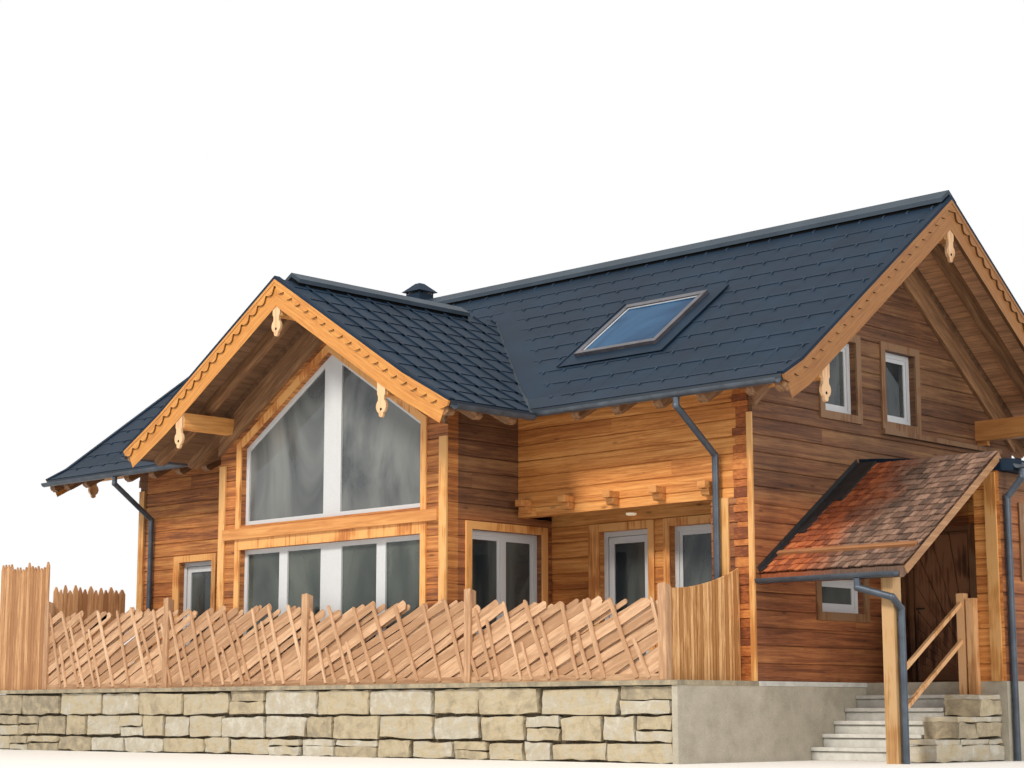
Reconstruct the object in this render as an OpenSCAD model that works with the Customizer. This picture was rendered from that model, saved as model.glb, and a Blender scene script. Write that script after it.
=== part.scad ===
// Alpine chalet: a log house with a cross gable, a recessed loggia, a side porch
// over stone stairs and a narrow walled terrace with a split-wood fence.
// Millimetres. X runs along the main ridge, Y to the back, Z up from the ground.
// Sizes named below are measured from the south-east house corner at floor level.

/* [House] */
// Length of the main body along its ridge
main_l = 13350; // [12000:50:15000]
// Width of the main body, front to back
main_w = 6500; // [6100:50:7200]
// Height of the floor above the ground
floor_h = 1000; // [800:10:1300]
// Thickness of the log walls
wall_t = 200; // [160:5:240]
// Height of one log course
log_h = 225; // [180:5:280]
// Depth of the groove between two logs
groove = 14; // [6:1:24]
// Thickness of the ground floor slab
slab_t = 60; // [40:5:120]
// How far the slab's sill stands out from the plinth
sill_out = 18; // [5:1:40]

/* [Main roof] */
// Pitch of the main roof
main_pitch = 37; // [34:0.5:40]
// Height of the main ridge above the floor
ridge_z = 6680; // [6400:20:7000]
// Thickness of the roof over the walls, square to the slope
roof_t = 220; // [180:5:260]
// Thickness of the boarded overhangs, square to the slope
deck_t = 80; // [60:5:110]
// Spacing of the rafters
rafter_gap = 720; // [600:10:850]
// Width of a rafter
rafter_b = 140; // [100:5:160]
// Overhang of the eaves
eave_out = 800; // [600:10:950]
// Width of the shallower strip along each eave
kick_w = 410; // [200:10:560]
// Pitch of the shallower strip
kick_pitch = 29; // [25:0.5:33]
// Verge overhang at the east gable
verge_e = 1050; // [800:10:1250]
// Verge overhang at the west gable
verge_w = 1720; // [1400:10:2000]
// Thickness of the verge boards
barge_t = 45; // [30:1:60]
// Depth of the verge boards, square to the slope
barge_h = 350; // [300:5:400]

// Width of the carved plates on the purlins' ends
pendant_w = 200; // [150:5:240]
// Length of those plates
pendant_h = 540; // [480:10:620]
// Depth of the boards under the soffit of a gable, straight down
frieze_h = 450; // [380:10:500]

/* [Wing] */
// Width of the front wing
wing_w = 5080; // [4800:20:5400]
// From the house's east corner to the wing's east wall
wing_from_east = 4180; // [4000:20:4400]
// How far the wing stands out from the front wall
wing_out = 1400; // [1200:10:1450]
// Pitch of the wing's roof
wing_pitch = 32; // [30:0.5:34]
// Height of the wing's ridge above the floor
wing_ridge_z = 5850; // [5700:10:6000]
// Half the width of the wing's roof
wing_half = 3650; // [3450:10:3800]
// Width of the shallower strip along the wing's eaves
wing_kick_w = 900; // [500:10:1000]
// Pitch of that strip
wing_kick_pitch = 28; // [25:0.5:30]
// Verge overhang of the wing
wing_verge = 1020; // [850:10:1200]

/* [Recess and floors] */
// Depth of the loggia under the upper front wall
recess_d = 700; // [600:10:900]
// Clear height of the loggia
recess_h = 2350; // [2250:10:2450]
// Width of the closed corner beside the loggia
corner_w = 700; // [600:10:800]
// Height of the upper floor's top
upper_z = 2750; // [2700:10:2850]
// Thickness of the upper floor
upper_t = 250; // [200:10:300]

/* [Doors and windows] */
// Height of the door openings
door_h = 2130; // [2050:10:2200]
// Width of the glazed doors' openings
glass_door_w = 900; // [850:10:1000]
// Width of the entrance door's opening
entrance_w = 1040; // [950:10:1100]
// Section of the fixed frames
frame_w = 70; // [50:5:90]
// Depth of the fixed frames
frame_t = 80; // [60:5:100]
// Thickness of the door leaves
leaf_t = 60; // [50:1:70]
// Width of the rails and stiles of a glazed leaf
stile_w = 95; // [80:5:120]
// Running gap round a door leaf
leaf_gap = 6; // [5:1:10]
// Thickness of a pane
pane_t = 24; // [16:1:36]
// Depth from the wall's face to the frames
reveal_d = 90; // [50:5:110]
// Width of the wooden trims round the openings
trim_w = 110; // [80:5:130]
// Thickness of the wooden trims
trim_t = 28; // [20:1:40]

/* [Glazed gable] */
// Width of the gable glazing
glazing_w = 4030; // [3800:10:4200]
// Foot of the upper panes above the floor
upper_pane_z = 2440; // [2400:10:2500]
// Head of the lower panes above the floor
lower_pane_z = 2070; // [2000:10:2120]
// Width of the central mullion
mullion_w = 380; // [300:10:420]
// From the glazing's corner to the rake of its head
glazing_side_z = 3640; // [3560:10:3700]

/* [Annex and porch] */
// Width of the annex, east of the main body
annex_w = 2130; // [2000:10:2300]
// From the house's front to the annex's front
annex_y = 2400; // [2300:10:2600]
// Length of the annex
annex_l = 3400; // [3100:20:3600]
// Depth of the landing before the entrance door
landing_d = 950; // [900:10:1100]
// Thickness of the annex's roof
annex_roof_t = 150; // [120:5:180]
// Length of the short log wall between the landing and the annex's corner
stub_w = 380; // [300:10:450]
// Height of the annex's eave above the floor
annex_eave_z = 2850; // [2800:10:2950]
// Pitch of the annex's roof
annex_pitch = 5; // [3:0.5:7]
// Front edge of the porch roof from the house's front
porch_y = 100; // [60:5:160]
// Height of the porch roof's front edge
porch_z = 1345; // [1300:5:1400]
// Thickness of the porch roof
porch_t = 110; // [80:5:140]
// Side of the porch post
post_s = 170; // [140:5:200]
// Centre of the porch post from the main body's east face
post_x = 1850; // [1750:10:1950]

/* [Stairs] */
// Number of risers from the ground to the landing
risers = 6; // [5:1:7]
// Depth of a tread
tread_d = 264; // [240:2:290]
// Width of the flight
stair_w = 1500; // [1300:10:1600]
// Width of the stone wall beside the flight
cheek_w = 560; // [450:10:600]

/* [Terrace and fence] */
// Depth of the terrace from the front wall to its edge
terrace_d = 1600; // [1560:10:1700]
// How far the terrace runs on past the house's west corner
terrace_west = 1950; // [1500:50:2400]
// Thickness of the stone retaining wall
stone_t = 280; // [220:10:320]
// Side of the fence posts
fence_post_s = 120; // [100:5:130]
// Height of the last fence post on the right
fence_h = 1180; // [1100:10:1250]
// How much each bay to the left stands higher
fence_step = 75; // [0:5:90]
// Length of a fence bay
fence_bay = 3370; // [3200:10:3450]
// Number of lattice bays
fence_bays = 4; // [3:1:5]
// Spacing of the slanting boards
slat_gap = 205; // [180:5:260]
// Width of the slanting boards
slat_w = 125; // [80:5:140]
// Lean of the boards from the upright
slat_lean = 52; // [40:1:60]
// Thickness of the boards
slat_t = 22; // [16:1:28]
// Spacing of the leaning sticks
stick_gap = 330; // [260:10:420]
// Lean of the sticks from the upright
stick_lean = 38; // [25:1:45]
// Thickness of the sticks
stick_t = 36; // [28:1:44]
// Height of the foot plank
foot_h = 130; // [100:5:160]
// Gap under the foot plank
foot_z = 50; // [30:5:80]

/* [Drainage] */
// Diameter of the gutters
gutter_d = 130; // [100:5:150]
// Diameter of the downpipes
pipe_d = 87; // [70:1:100]

/* [Hidden] */

log_color = "peru";
new_wood_color = "burlywood";
roof_color = "darkslategray";
white_color = "white";
stone_color = "tan";
plaster_color = "darkkhaki";
glass_color = "lightsteelblue";

eps = 1;
seat = 0.3;
far = 20000;
mid_y = main_w / 2;
roof_v = roof_t / cos(main_pitch);
deck_v = deck_t / cos(main_pitch);
wing_deck_v = deck_t / cos(wing_pitch);
wing_x = -wing_from_east - wing_w / 2;
wing_roof_v = roof_t / cos(wing_pitch);
kick_y = -eave_out + kick_w;
kick_z = ridge_z - (mid_y - kick_y) * tan(main_pitch);
eave_z = kick_z - kick_w * tan(kick_pitch);
wing_kick_z = wing_ridge_z - (wing_half - wing_kick_w) * tan(wing_pitch);
wing_eave_z = wing_kick_z - wing_kick_w * tan(wing_kick_pitch);
barge_v = barge_h / cos(main_pitch);
wing_verge_y = -wing_out - wing_verge;
trim_x = glazing_w / 2 + trim_w;
glazing_head = glazing_side_z + glazing_w / 2 * tan(wing_pitch);
terrace_l = main_l + terrace_west;

garden_door_in = 1200;
garden_door_x = -main_l + garden_door_in;
terrace_door_x = -3250;
door_light_x = -1960;
door_light_w = 1000;
entrance_x = 60;
entrance_y = annex_y + landing_d;
threshold = 20;

gable_windows = [1600, 3090];
gable_window_w = 770;
gable_window_z = 3630;
gable_window_h = 1020;
low_window_y = 1400;
low_window_w = 1000;
low_window_z = 920;
low_window_h = 470;
side_window_y = -950;
side_window_w = 1430;
side_window_head = 2130;
side_window_h = 1500;
rear_windows = [for (i = [0:3]) -main_l * (0.9 - 0.21 * i)];
rear_window_w = 1100;
rear_window_z = 900;
rear_window_h = 1200;
annex_window_y = 2960;
annex_window_w = 800;
annex_window_z = 1400;
annex_window_h = 800;

skylight_x = [-3540, -2020];
skylight_y = [540, 1740];

function main_top(y) = ridge_z - (mid_y - y) * tan(main_pitch);
function porch_top(y) = porch_z + (y - porch_y) * tan(porch_pitch);
annex_wall_z = annex_eave_z + annex_w * tan(annex_pitch);
porch_rise = annex_eave_z + 90 - porch_z;
porch_pitch = atan(porch_rise / (annex_y - porch_y));

function log_side(n) = [for (i = [0:n - 1]) each [
    [0, i * log_h + (i > 0 ? groove : 0)],
    [0, (i + 1) * log_h - groove],
    [groove, (i + 1) * log_h]]];
function log_profile(n) = concat(log_side(n),
    [for (i = [3 * n - 1:-1:0]) [wall_t - log_side(n)[i][0], log_side(n)[i][1]]]);

// Moves the south-east corner at floor level to its place round the house's centre
module at_house() translate([main_l / 2, -main_w / 2, floor_h]) children();

// A YZ outline drawn along X, and an XZ outline drawn along Y
module along_x(x0, x1) translate([x0, 0, 0]) rotate([90, 0, 90]) linear_extrude(x1 - x0) children();
module along_y(y0, y1) translate([0, y1, 0]) rotate([90, 0, 0]) linear_extrude(y1 - y0) children();
module block(x0, x1, y0, y1, z0, z1) translate([x0, y0, z0]) cube([x1 - x0, y1 - y0, z1 - z0]);

module main_roof_line(drop) polygon([
    [mid_y, ridge_z - drop], [kick_y, kick_z - drop], [-eave_out, eave_z - drop],
    [-eave_out, -floor_h], [mid_y, -floor_h]]);
module wing_roof_line(drop) polygon([
    [wing_x, wing_ridge_z - drop],
    [wing_x + wing_half - wing_kick_w, wing_kick_z - drop],
    [wing_x + wing_half, wing_eave_z - drop],
    [wing_x + wing_half, 0], [wing_x - wing_half, 0],
    [wing_x - wing_half, wing_eave_z - drop],
    [wing_x - wing_half + wing_kick_w, wing_kick_z - drop]]);

// The space under the main roof's lower face, both slopes
module under_main_roof(x0, x1) {
    along_x(x0, x1) main_roof_line(roof_v);
    translate([0, main_w, 0]) mirror([0, 1, 0]) along_x(x0, x1) main_roof_line(roof_v);
}
module under_wing_roof(y0, y1) along_y(y0, y1) wing_roof_line(wing_roof_v);

// Log walls standing on the floor: one along X, its outer face at y, one along Y at x
module logs_x(x0, x1, y, n = 20) along_x(x0, x1) translate([y, 0]) polygon(log_profile(n));
module logs_y(y0, y1, x, n = 20) along_y(y0, y1) translate([x, 0]) polygon(log_profile(n));

log_rows = ceil(eave_z / log_h);
gable_rows = ceil(ridge_z / log_h);

module front_logs(x0, x1, z0, z1) intersection() {
    logs_x(x0, x1, 0, log_rows);
    block(x0, x1, 0, wall_t, z0, z1);
    under_main_roof(x0, x1);
}

module plinth() color(plaster_color) at_house() {
    block(-main_l, 0, 0, main_w, -floor_h, -slab_t);
    block(-terrace_l, 0, -terrace_d + stone_t, 0, -floor_h, -slab_t);
    block(-sill_out - stone_t / 4, 0, -terrace_d, -terrace_d + stone_t, -floor_h, -slab_t);
}

module stone_wall() color(stone_color) at_house()
    block(-terrace_l, -sill_out - stone_t / 4, -terrace_d, -terrace_d + stone_t, -floor_h, -slab_t);

module terrace_slab() color(stone_color) at_house() difference() {
    block(-terrace_l, sill_out, -terrace_d - sill_out, 0, -slab_t, 0);
    block(wing_x - wing_w / 2, wing_x + wing_w / 2, -wing_out, eps, -slab_t - eps, eps);
}

module ground_floor() color("wheat") at_house() {
    block(-main_l, sill_out, 0, main_w, -slab_t, 0);
    block(wing_x - wing_w / 2, wing_x + wing_w / 2, -wing_out, 0, -slab_t, 0);
}

module upper_floor() color("wheat") at_house()
    block(-wing_from_east, -wall_t, wall_t, main_w - wall_t, upper_z - upper_t, upper_z);

module front_wall_west() color(log_color) at_house()
    front_logs(-main_l + wall_t, garden_door_x, 0, far);
module front_wall_middle() color(log_color) at_house()
    front_logs(garden_door_x + glass_door_w, wing_x - wing_w / 2, 0, far);
module front_wall_west_head() color(log_color) at_house()
    front_logs(garden_door_x, garden_door_x + glass_door_w, door_h, far);

// Outline of the gable glazing's upper panes, with a head that follows the rake
module upper_glazing(grow = 0) polygon([
    [wing_x - glazing_w / 2 - grow, upper_pane_z - grow],
    [wing_x + glazing_w / 2 + grow, upper_pane_z - grow],
    [wing_x + glazing_w / 2 + grow, glazing_side_z + grow * tan(wing_pitch)],
    [wing_x, glazing_side_z + (glazing_w / 2) * tan(wing_pitch) + grow / cos(wing_pitch)],
    [wing_x - glazing_w / 2 - grow, glazing_side_z + grow * tan(wing_pitch)]]);
module lower_glazing(grow = 0) polygon([
    [wing_x - glazing_w / 2 - grow, threshold - grow],
    [wing_x + glazing_w / 2 + grow, threshold - grow],
    [wing_x + glazing_w / 2 + grow, lower_pane_z + grow],
    [wing_x - glazing_w / 2 - grow, lower_pane_z + grow]]);

module wing_front_wall() color(log_color) at_house() difference() {
    intersection() {
        logs_x(wing_x - wing_w / 2, wing_x + wing_w / 2, -wing_out, gable_rows);
        block(-far, far, -wing_out, -wing_out + wall_t, 0, far);
        under_wing_roof(-wing_out - eps, 0);
    }
    along_y(-wing_out - eps, 0) upper_glazing();
    along_y(-wing_out - eps, 0) lower_glazing();
    wing_purlins();
}

module wing_side(x, y1, z1) intersection() {
    logs_y(-wing_out + wall_t, y1, x, log_rows);
    block(x, x + wall_t, -wing_out + wall_t, y1, 0, z1);
    under_wing_roof(-wing_out - eps, main_w);
}

module wing_east_wall() color(log_color) at_house() difference() {
    union() {
        wing_side(-wing_from_east - wall_t, recess_d + wall_t, recess_h);
        intersection() {
            wing_side(-wing_from_east - wall_t, wall_t, far);
            block(-far, far, -far, far, recess_h - eps, far);
        }
    }
    block(-wing_from_east - wall_t - eps, -wing_from_east + eps, side_window_y,
        side_window_y + side_window_w, side_window_head - side_window_h, side_window_head);
}

module wing_west_wall() color(log_color) at_house()
    wing_side(-wing_from_east - wing_w, 0, far);

module recess_logs(x0, x1, z0, z1) intersection() {
    logs_x(x0, x1, recess_d, log_rows);
    block(x0, x1, recess_d, recess_d + wall_t, z0, z1);
}
module recess_wall_west() color(log_color) at_house()
    recess_logs(-wing_from_east, terrace_door_x, 0, upper_z - upper_t);
module recess_wall_east() color(log_color) at_house() difference() {
    recess_logs(terrace_door_x + glass_door_w, -corner_w + wall_t, 0, upper_z - upper_t);
    block(door_light_x, door_light_x + door_light_w, 0, far, threshold, door_h);
}
module recess_wall_head() color(log_color) at_house()
    recess_logs(terrace_door_x, terrace_door_x + glass_door_w, door_h, upper_z - upper_t);

module corner_wall() color(log_color) at_house() {
    front_logs(-corner_w, -wall_t, 0, recess_h);
    intersection() {
        logs_y(wall_t, recess_d, -corner_w, log_rows);
        block(-corner_w, -corner_w + wall_t, wall_t, recess_d, 0, upper_z - upper_t);
    }
}

module front_wall_upper() color(log_color) at_house()
    front_logs(-wing_from_east, -wall_t, recess_h, far);

corbel_s = [130, 210, 190];
corbel_pitch = 820;
corbel_z = recess_h + 40;
module corbels() color(new_wood_color) at_house()
    for (i = [0:4]) block(-corner_w - i * corbel_pitch - corbel_s[0] / 2,
        -corner_w - i * corbel_pitch + corbel_s[0] / 2, -corbel_s[1], 0, corbel_z, corbel_z + corbel_s[2]);

module gable_logs(x) intersection() {
    logs_y(0, main_w, x, gable_rows);
    under_main_roof(x, x + wall_t);
    block(x, x + wall_t, 0, main_w, 0, far);
}
module gable_holes(x) for (y = gable_windows)
    block(x - eps, x + wall_t + eps, y, y + gable_window_w, gable_window_z,
        gable_window_z + gable_window_h);

module east_wall() color(log_color) at_house() difference() {
    gable_logs(-wall_t);
    gable_holes(-wall_t);
    block(-wall_t - eps, eps, low_window_y, low_window_y + low_window_w, low_window_z,
        low_window_z + low_window_h);
    ridge_purlin();
}
module west_wall() color(log_color) at_house() difference() {
    gable_logs(-main_l);
    gable_holes(-main_l);
    ridge_purlin();
}
module rear_wall() color(log_color) at_house() difference() {
    intersection() {
        logs_x(-main_l + wall_t, -wall_t, main_w - wall_t, log_rows);
        under_main_roof(-main_l, 0);
    }
    for (x = rear_windows)
        block(x, x + rear_window_w, 0, far, rear_window_z, rear_window_z + rear_window_h);
}

// Annex
module annex_base() color(plaster_color) at_house() {
    block(sill_out, annex_w, annex_y, annex_y + annex_l, -floor_h, 0);
    block(0, sill_out, annex_y, annex_y + annex_l, -floor_h, -slab_t);
}
module annex_under_roof() along_y(annex_y, annex_y + annex_l) polygon([
    [0, 0], [annex_w, 0], [annex_w, annex_eave_z - annex_roof_t - seat],
    [0, annex_wall_z - annex_roof_t - seat]]);
module annex_side_walls() color(log_color) at_house() difference() {
    intersection() {
        union() {
            logs_y(annex_y, annex_y + annex_l, annex_w - wall_t, log_rows);
            logs_x(0, annex_w - wall_t, annex_y + annex_l - wall_t, log_rows);
            logs_x(annex_w - stub_w, annex_w - wall_t, annex_y, log_rows);
        }
        annex_under_roof();
    }
    block(annex_w - wall_t - eps, annex_w + eps, annex_window_y, annex_window_y + annex_window_w,
        annex_window_z, annex_window_z + annex_window_h);
}
module annex_front_wall() color(log_color) at_house() intersection() {
    logs_x(entrance_x + entrance_w, annex_w - wall_t, entrance_y, log_rows);
    annex_under_roof();
}
module annex_front_head() color(log_color) at_house() intersection() {
    logs_x(0, entrance_x + entrance_w, entrance_y, log_rows);
    annex_under_roof();
    block(0, entrance_x + entrance_w, 0, far, door_h, far);
}

riser_h = floor_h / risers;
module stairs() color("gainsboro") at_house() along_x(0, stair_w) polygon(concat(
    [[annex_y, -floor_h]],
    [for (i = [1:risers - 1]) each [
        [annex_y - (i - 1) * tread_d, -i * riser_h],
        [annex_y - i * tread_d, -i * riser_h]]],
    [[annex_y - (risers - 1) * tread_d, -floor_h]]));

// The wall beside the flight steps down in courses
cheek_courses = 3;
stair_run = risers * tread_d;
cheek_h = (floor_h - riser_h) / cheek_courses;
module stair_cheek() color(stone_color) at_house() along_x(stair_w, stair_w + cheek_w) polygon(concat(
    [[annex_y, -floor_h], [annex_y - stair_run, -floor_h]],
    [for (i = [0:cheek_courses - 1]) each [
        [annex_y - stair_run * (cheek_courses - i) / cheek_courses, -floor_h + i * cheek_h],
        [annex_y - stair_run * (cheek_courses - i) / cheek_courses, -floor_h + (i + 1) * cheek_h]]],
    [[annex_y, -riser_h]]));

// Roofs: full thickness over the walls, a thinner deck in the overhangs.
// Each layer lies between two depths below the roof's upper face, straight down.
function main_edge(v) = [[mid_y, ridge_z - v], [kick_y, kick_z - v], [-eave_out, eave_z - v]];
module main_layer(a, b) polygon(concat(main_edge(a), [for (i = [2:-1:0]) main_edge(b)[i]]));
function wing_edge(v) = [
    [wing_x - wing_half, wing_eave_z - v], [wing_x - wing_half + wing_kick_w, wing_kick_z - v],
    [wing_x, wing_ridge_z - v],
    [wing_x + wing_half - wing_kick_w, wing_kick_z - v], [wing_x + wing_half, wing_eave_z - v]];
module wing_layer(a, b) polygon(concat(wing_edge(a), [for (i = [4:-1:0]) wing_edge(b)[i]]));

module main_slab(x0, x1) {
    along_x(x0, x1) main_layer(0, deck_v);
    along_x(-main_l, 0) intersection() {
        main_layer(0, roof_v);
        square([far, far]);
    }
}
module main_roof_front() color(roof_color) at_house() difference() {
    main_slab(-main_l - verge_w, verge_e);
    along_y(-far, mid_y + eps) wing_roof_line(0);
    skylight_hole();
}
module main_roof_rear() color(roof_color) at_house()
    translate([0, main_w, 0]) mirror([0, 1, 0]) main_slab(-main_l - verge_w, verge_e);

// What lies under the main roof, with its face in the overhang or over the walls
module below_main(y0, v) along_x(-far, far) polygon([[mid_y, ridge_z - v], [kick_y, kick_z - v],
    [y0, kick_z - v - (kick_y - y0) * tan(kick_pitch)], [y0, -floor_h], [mid_y, -floor_h]]);
module wing_roof() color(roof_color) at_house() difference() {
    union() {
        along_y(wing_verge_y, mid_y) wing_layer(0, wing_deck_v);
        along_y(-wing_out, 0) intersection() {
            wing_layer(0, wing_roof_v);
            translate([wing_x - wing_w / 2, 0]) square([wing_w, far]);
        }
        along_y(0, mid_y) wing_layer(0, wing_roof_v);
    }
    intersection() {
        below_main(kick_y - 5 * kick_w, deck_v);
        block(-far, far, -far, 0, -far, far);
    }
    intersection() {
        below_main(-eps, roof_v);
        block(-far, far, -eps, mid_y + eps, -far, far);
    }
}

annex_out = 220;
module annex_roof() color(roof_color) at_house() along_y(annex_y, annex_y + annex_l + annex_out)
    polygon([[0, annex_wall_z], [annex_w + annex_out, annex_eave_z - annex_out * tan(annex_pitch)],
        [annex_w + annex_out, annex_eave_z - annex_out * tan(annex_pitch) - annex_roof_t],
        [0, annex_wall_z - annex_roof_t]]);

porch_v = porch_t / cos(porch_pitch);
post_y = porch_y + 60;
module porch_roof() color("sienna") at_house() along_x(0, annex_w) polygon([
    [porch_y, porch_top(porch_y)], [annex_y, porch_top(annex_y)],
    [annex_y, porch_top(annex_y) - porch_v], [porch_y, porch_top(porch_y) - porch_v]]);

cap_w = 190;
cap_h = 60;
module cap_section(v, pitch) polygon([
    [-cap_w, -cap_w * tan(pitch)], [0, 0], [cap_w, -cap_w * tan(pitch)],
    [cap_w, -cap_w * tan(pitch) + v], [0, v], [-cap_w, -cap_w * tan(pitch) + v]]);
module ridge_caps() color(roof_color) at_house() {
    translate([0, mid_y, ridge_z]) along_x(-main_l - verge_w, verge_e) cap_section(cap_h, main_pitch);
    difference() {
        translate([wing_x, 0, wing_ridge_z]) along_y(wing_verge_y, mid_y) cap_section(cap_h, wing_pitch);
        along_x(-far, far) main_roof_line(0);
    }
}

// Square ventilation cowl astride the main ridge
vent_x = -9900;
vent_w = 2 * cap_w;
vent_h = 330;
lid_h = 40;
leg_h = 70;
module roof_vent() color(roof_color) at_house() translate([0, mid_y, ridge_z]) {
    along_x(vent_x, vent_x + vent_w) polygon([
        [-cap_w, cap_h - cap_w * tan(main_pitch) + seat], [0, cap_h + seat],
        [cap_w, cap_h - cap_w * tan(main_pitch) + seat], [cap_w, vent_h], [-cap_w, vent_h]]);
    for (x = [vent_x, vent_x + vent_w - lid_h], y = [-cap_w, cap_w - lid_h])
        block(x, x + lid_h, y, y + lid_h, vent_h, vent_h + leg_h);
    block(vent_x - lid_h, vent_x + vent_w + lid_h, -cap_w - lid_h, cap_w + lid_h, vent_h + leg_h,
        vent_h + leg_h + lid_h);
}

snow_beam_s = 70;
snow_beam_y = porch_y + 330;
module snow_beam() color("peru") at_house() translate([0, snow_beam_y, porch_top(snow_beam_y)])
    rotate([porch_pitch, 0, 0]) block(board_t + 10, annex_w - 10, 0, snow_beam_s, 0, snow_beam_s);

// A rafter or a board along a slope, its outer end cut square to the slope
function square_end(x, z, s, depth, pitch) = [x + s * depth * sin(pitch), z - depth * cos(pitch)];
module main_board(v, depth) polygon([[mid_y - seat / 2, ridge_z - v + seat / 2 * tan(main_pitch)],
    [kick_y, kick_z - v], [-eave_out, eave_z - v],
    square_end(-eave_out, eave_z - v, 1, depth, kick_pitch),
    [kick_y, kick_z - v - depth / cos(main_pitch)],
    [mid_y - seat / 2, ridge_z - v - depth / cos(main_pitch)]]);
module wing_board(v, depth) polygon([
    [wing_x + seat / 2, wing_ridge_z - v],
    [wing_x + wing_half - wing_kick_w, wing_kick_z - v], [wing_x + wing_half, wing_eave_z - v],
    square_end(wing_x + wing_half, wing_eave_z - v, -1, depth, wing_kick_pitch),
    [wing_x + wing_half - wing_kick_w, wing_kick_z - v - depth / cos(wing_pitch)],
    [wing_x + seat / 2, wing_ridge_z - v - depth / cos(wing_pitch)]]);
module both_slopes() {
    children();
    translate([0, main_w, 0]) mirror([0, 1, 0]) children();
}
module both_wing_slopes() {
    children();
    translate([2 * wing_x, 0, 0]) mirror([1, 0, 0]) children();
}
module barge_boards() color(new_wood_color) at_house() {
    for (x = [verge_e, -main_l - verge_w - barge_t]) both_slopes()
        along_x(x, x + barge_t) main_board(0, barge_h);
    both_wing_slopes() along_y(wing_verge_y - barge_t, wing_verge_y) wing_board(0, barge_h);
}

// Rafters under the decks: whole ones past the gables, round-nosed tails under the eaves
rafter_h = roof_t - deck_t;
nose_r = rafter_h / 2;
nose_back = 60;
tail_y = -eave_out + nose_back;
module main_tail(y1) translate([0, -seat]) {
    polygon([[y1, main_top(y1) - deck_v], [kick_y, kick_z - deck_v],
        [tail_y + nose_r, eave_z - deck_v + (nose_back + nose_r) * tan(kick_pitch)],
        [tail_y + nose_r, eave_z - roof_v + (nose_back + nose_r) * tan(kick_pitch)],
        [kick_y, kick_z - roof_v], [y1, main_top(y1) - roof_v]]);
    translate([tail_y + nose_r, eave_z - (deck_v + roof_v) / 2 + (nose_back + nose_r) * tan(kick_pitch)])
        circle(nose_r, $fn = 32);
}
wing_tail_x = wing_x + wing_half - nose_back - nose_r;
function wing_top(x) = wing_ridge_z - (x - wing_x) * tan(wing_pitch);
module wing_tail(x0) translate([0, -seat]) {
    rise = (nose_back + nose_r) * tan(wing_kick_pitch);
    polygon([[x0, wing_top(x0) - wing_deck_v],
        [wing_x + wing_half - wing_kick_w, wing_kick_z - wing_deck_v],
        [wing_tail_x, wing_eave_z - wing_deck_v + rise], [wing_tail_x, wing_eave_z - wing_roof_v + rise],
        [wing_x + wing_half - wing_kick_w, wing_kick_z - wing_roof_v],
        [x0, wing_top(x0) - wing_roof_v]]);
    translate([wing_tail_x, wing_eave_z - (wing_deck_v + wing_roof_v) / 2 + rise])
        circle(nose_r, $fn = 32);
}
verge_rafters = [verge_e - rafter_b - seat, verge_e / 2 - rafter_b / 2,
    -main_l - verge_w + seat, -main_l - verge_w / 3 - rafter_b, -main_l - verge_w * 2 / 3 - rafter_b];
wing_rafters = [wing_verge_y + seat, wing_verge_y + wing_verge / 2];
tail_end_e = -rafter_gap / 4;
module main_tails(x0, x1) for (x = [x1:-rafter_gap:x0 + rafter_b])
    along_x(x - rafter_b, x) main_tail(-seat);
module rafters() color(log_color) at_house() {
    for (x = verge_rafters) both_slopes() along_x(x, x + rafter_b) main_tail(mid_y - seat);
    for (y = wing_rafters) both_wing_slopes() along_y(y, y + rafter_b) wing_tail(wing_x + seat);
    both_wing_slopes() along_y(-wing_out + rafter_b, -wing_out + 2 * rafter_b)
        wing_tail(-wing_from_east + seat);
    main_tails(wing_x + wing_half, tail_end_e);
    main_tails(-main_l, wing_x - wing_half - rafter_b);
    translate([0, main_w, 0]) mirror([0, 1, 0]) main_tails(-main_l, tail_end_e);
}

// Purlins: the ridge beam runs through both gables, the plates are short logs outside them
purlin_b = 180;
purlin_h = 240;
pendant_t = 40;
pendant_y = wall_t * 0.8;
wing_purlin_in = 260;
function purlin_top(y) = (y < mid_y ? main_top(y) : main_top(main_w - y)) - roof_v
    - (purlin_b / 2) * tan(main_pitch) - 2 * seat;
module main_purlin(x0, x1, y, gap = 0) block(x0, x1, y - purlin_b / 2 - gap, y + purlin_b / 2 + gap,
    purlin_top(y) - purlin_h - gap, purlin_top(y) + gap);
module ridge_purlin()
    main_purlin(-main_l - verge_w + pendant_t + seat, verge_e - pendant_t - seat, mid_y);
wing_purlin_x = [wing_x, wing_x - wing_w / 2 + wing_purlin_in, wing_x + wing_w / 2 - wing_purlin_in];
function wing_purlin_top(x) = wing_ridge_z - abs(x - wing_x) * tan(wing_pitch) - wing_roof_v
    - (purlin_b / 2) * tan(wing_pitch) - 2 * seat;
module wing_purlins(gap = 0) for (x = wing_purlin_x)
    block(x - purlin_b / 2 - gap, x + purlin_b / 2 + gap, wing_verge_y + pendant_t + seat,
        -wing_out + wall_t, wing_purlin_top(x) - purlin_h - gap, wing_purlin_top(x) + gap);
module purlins() color(new_wood_color) at_house() {
    ridge_purlin();
    both_slopes() {
        main_purlin(seat, verge_e - pendant_t - seat, pendant_y);
        main_purlin(-main_l - verge_w + pendant_t + seat, -main_l - seat, pendant_y);
    }
    wing_purlins();
}

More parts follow.
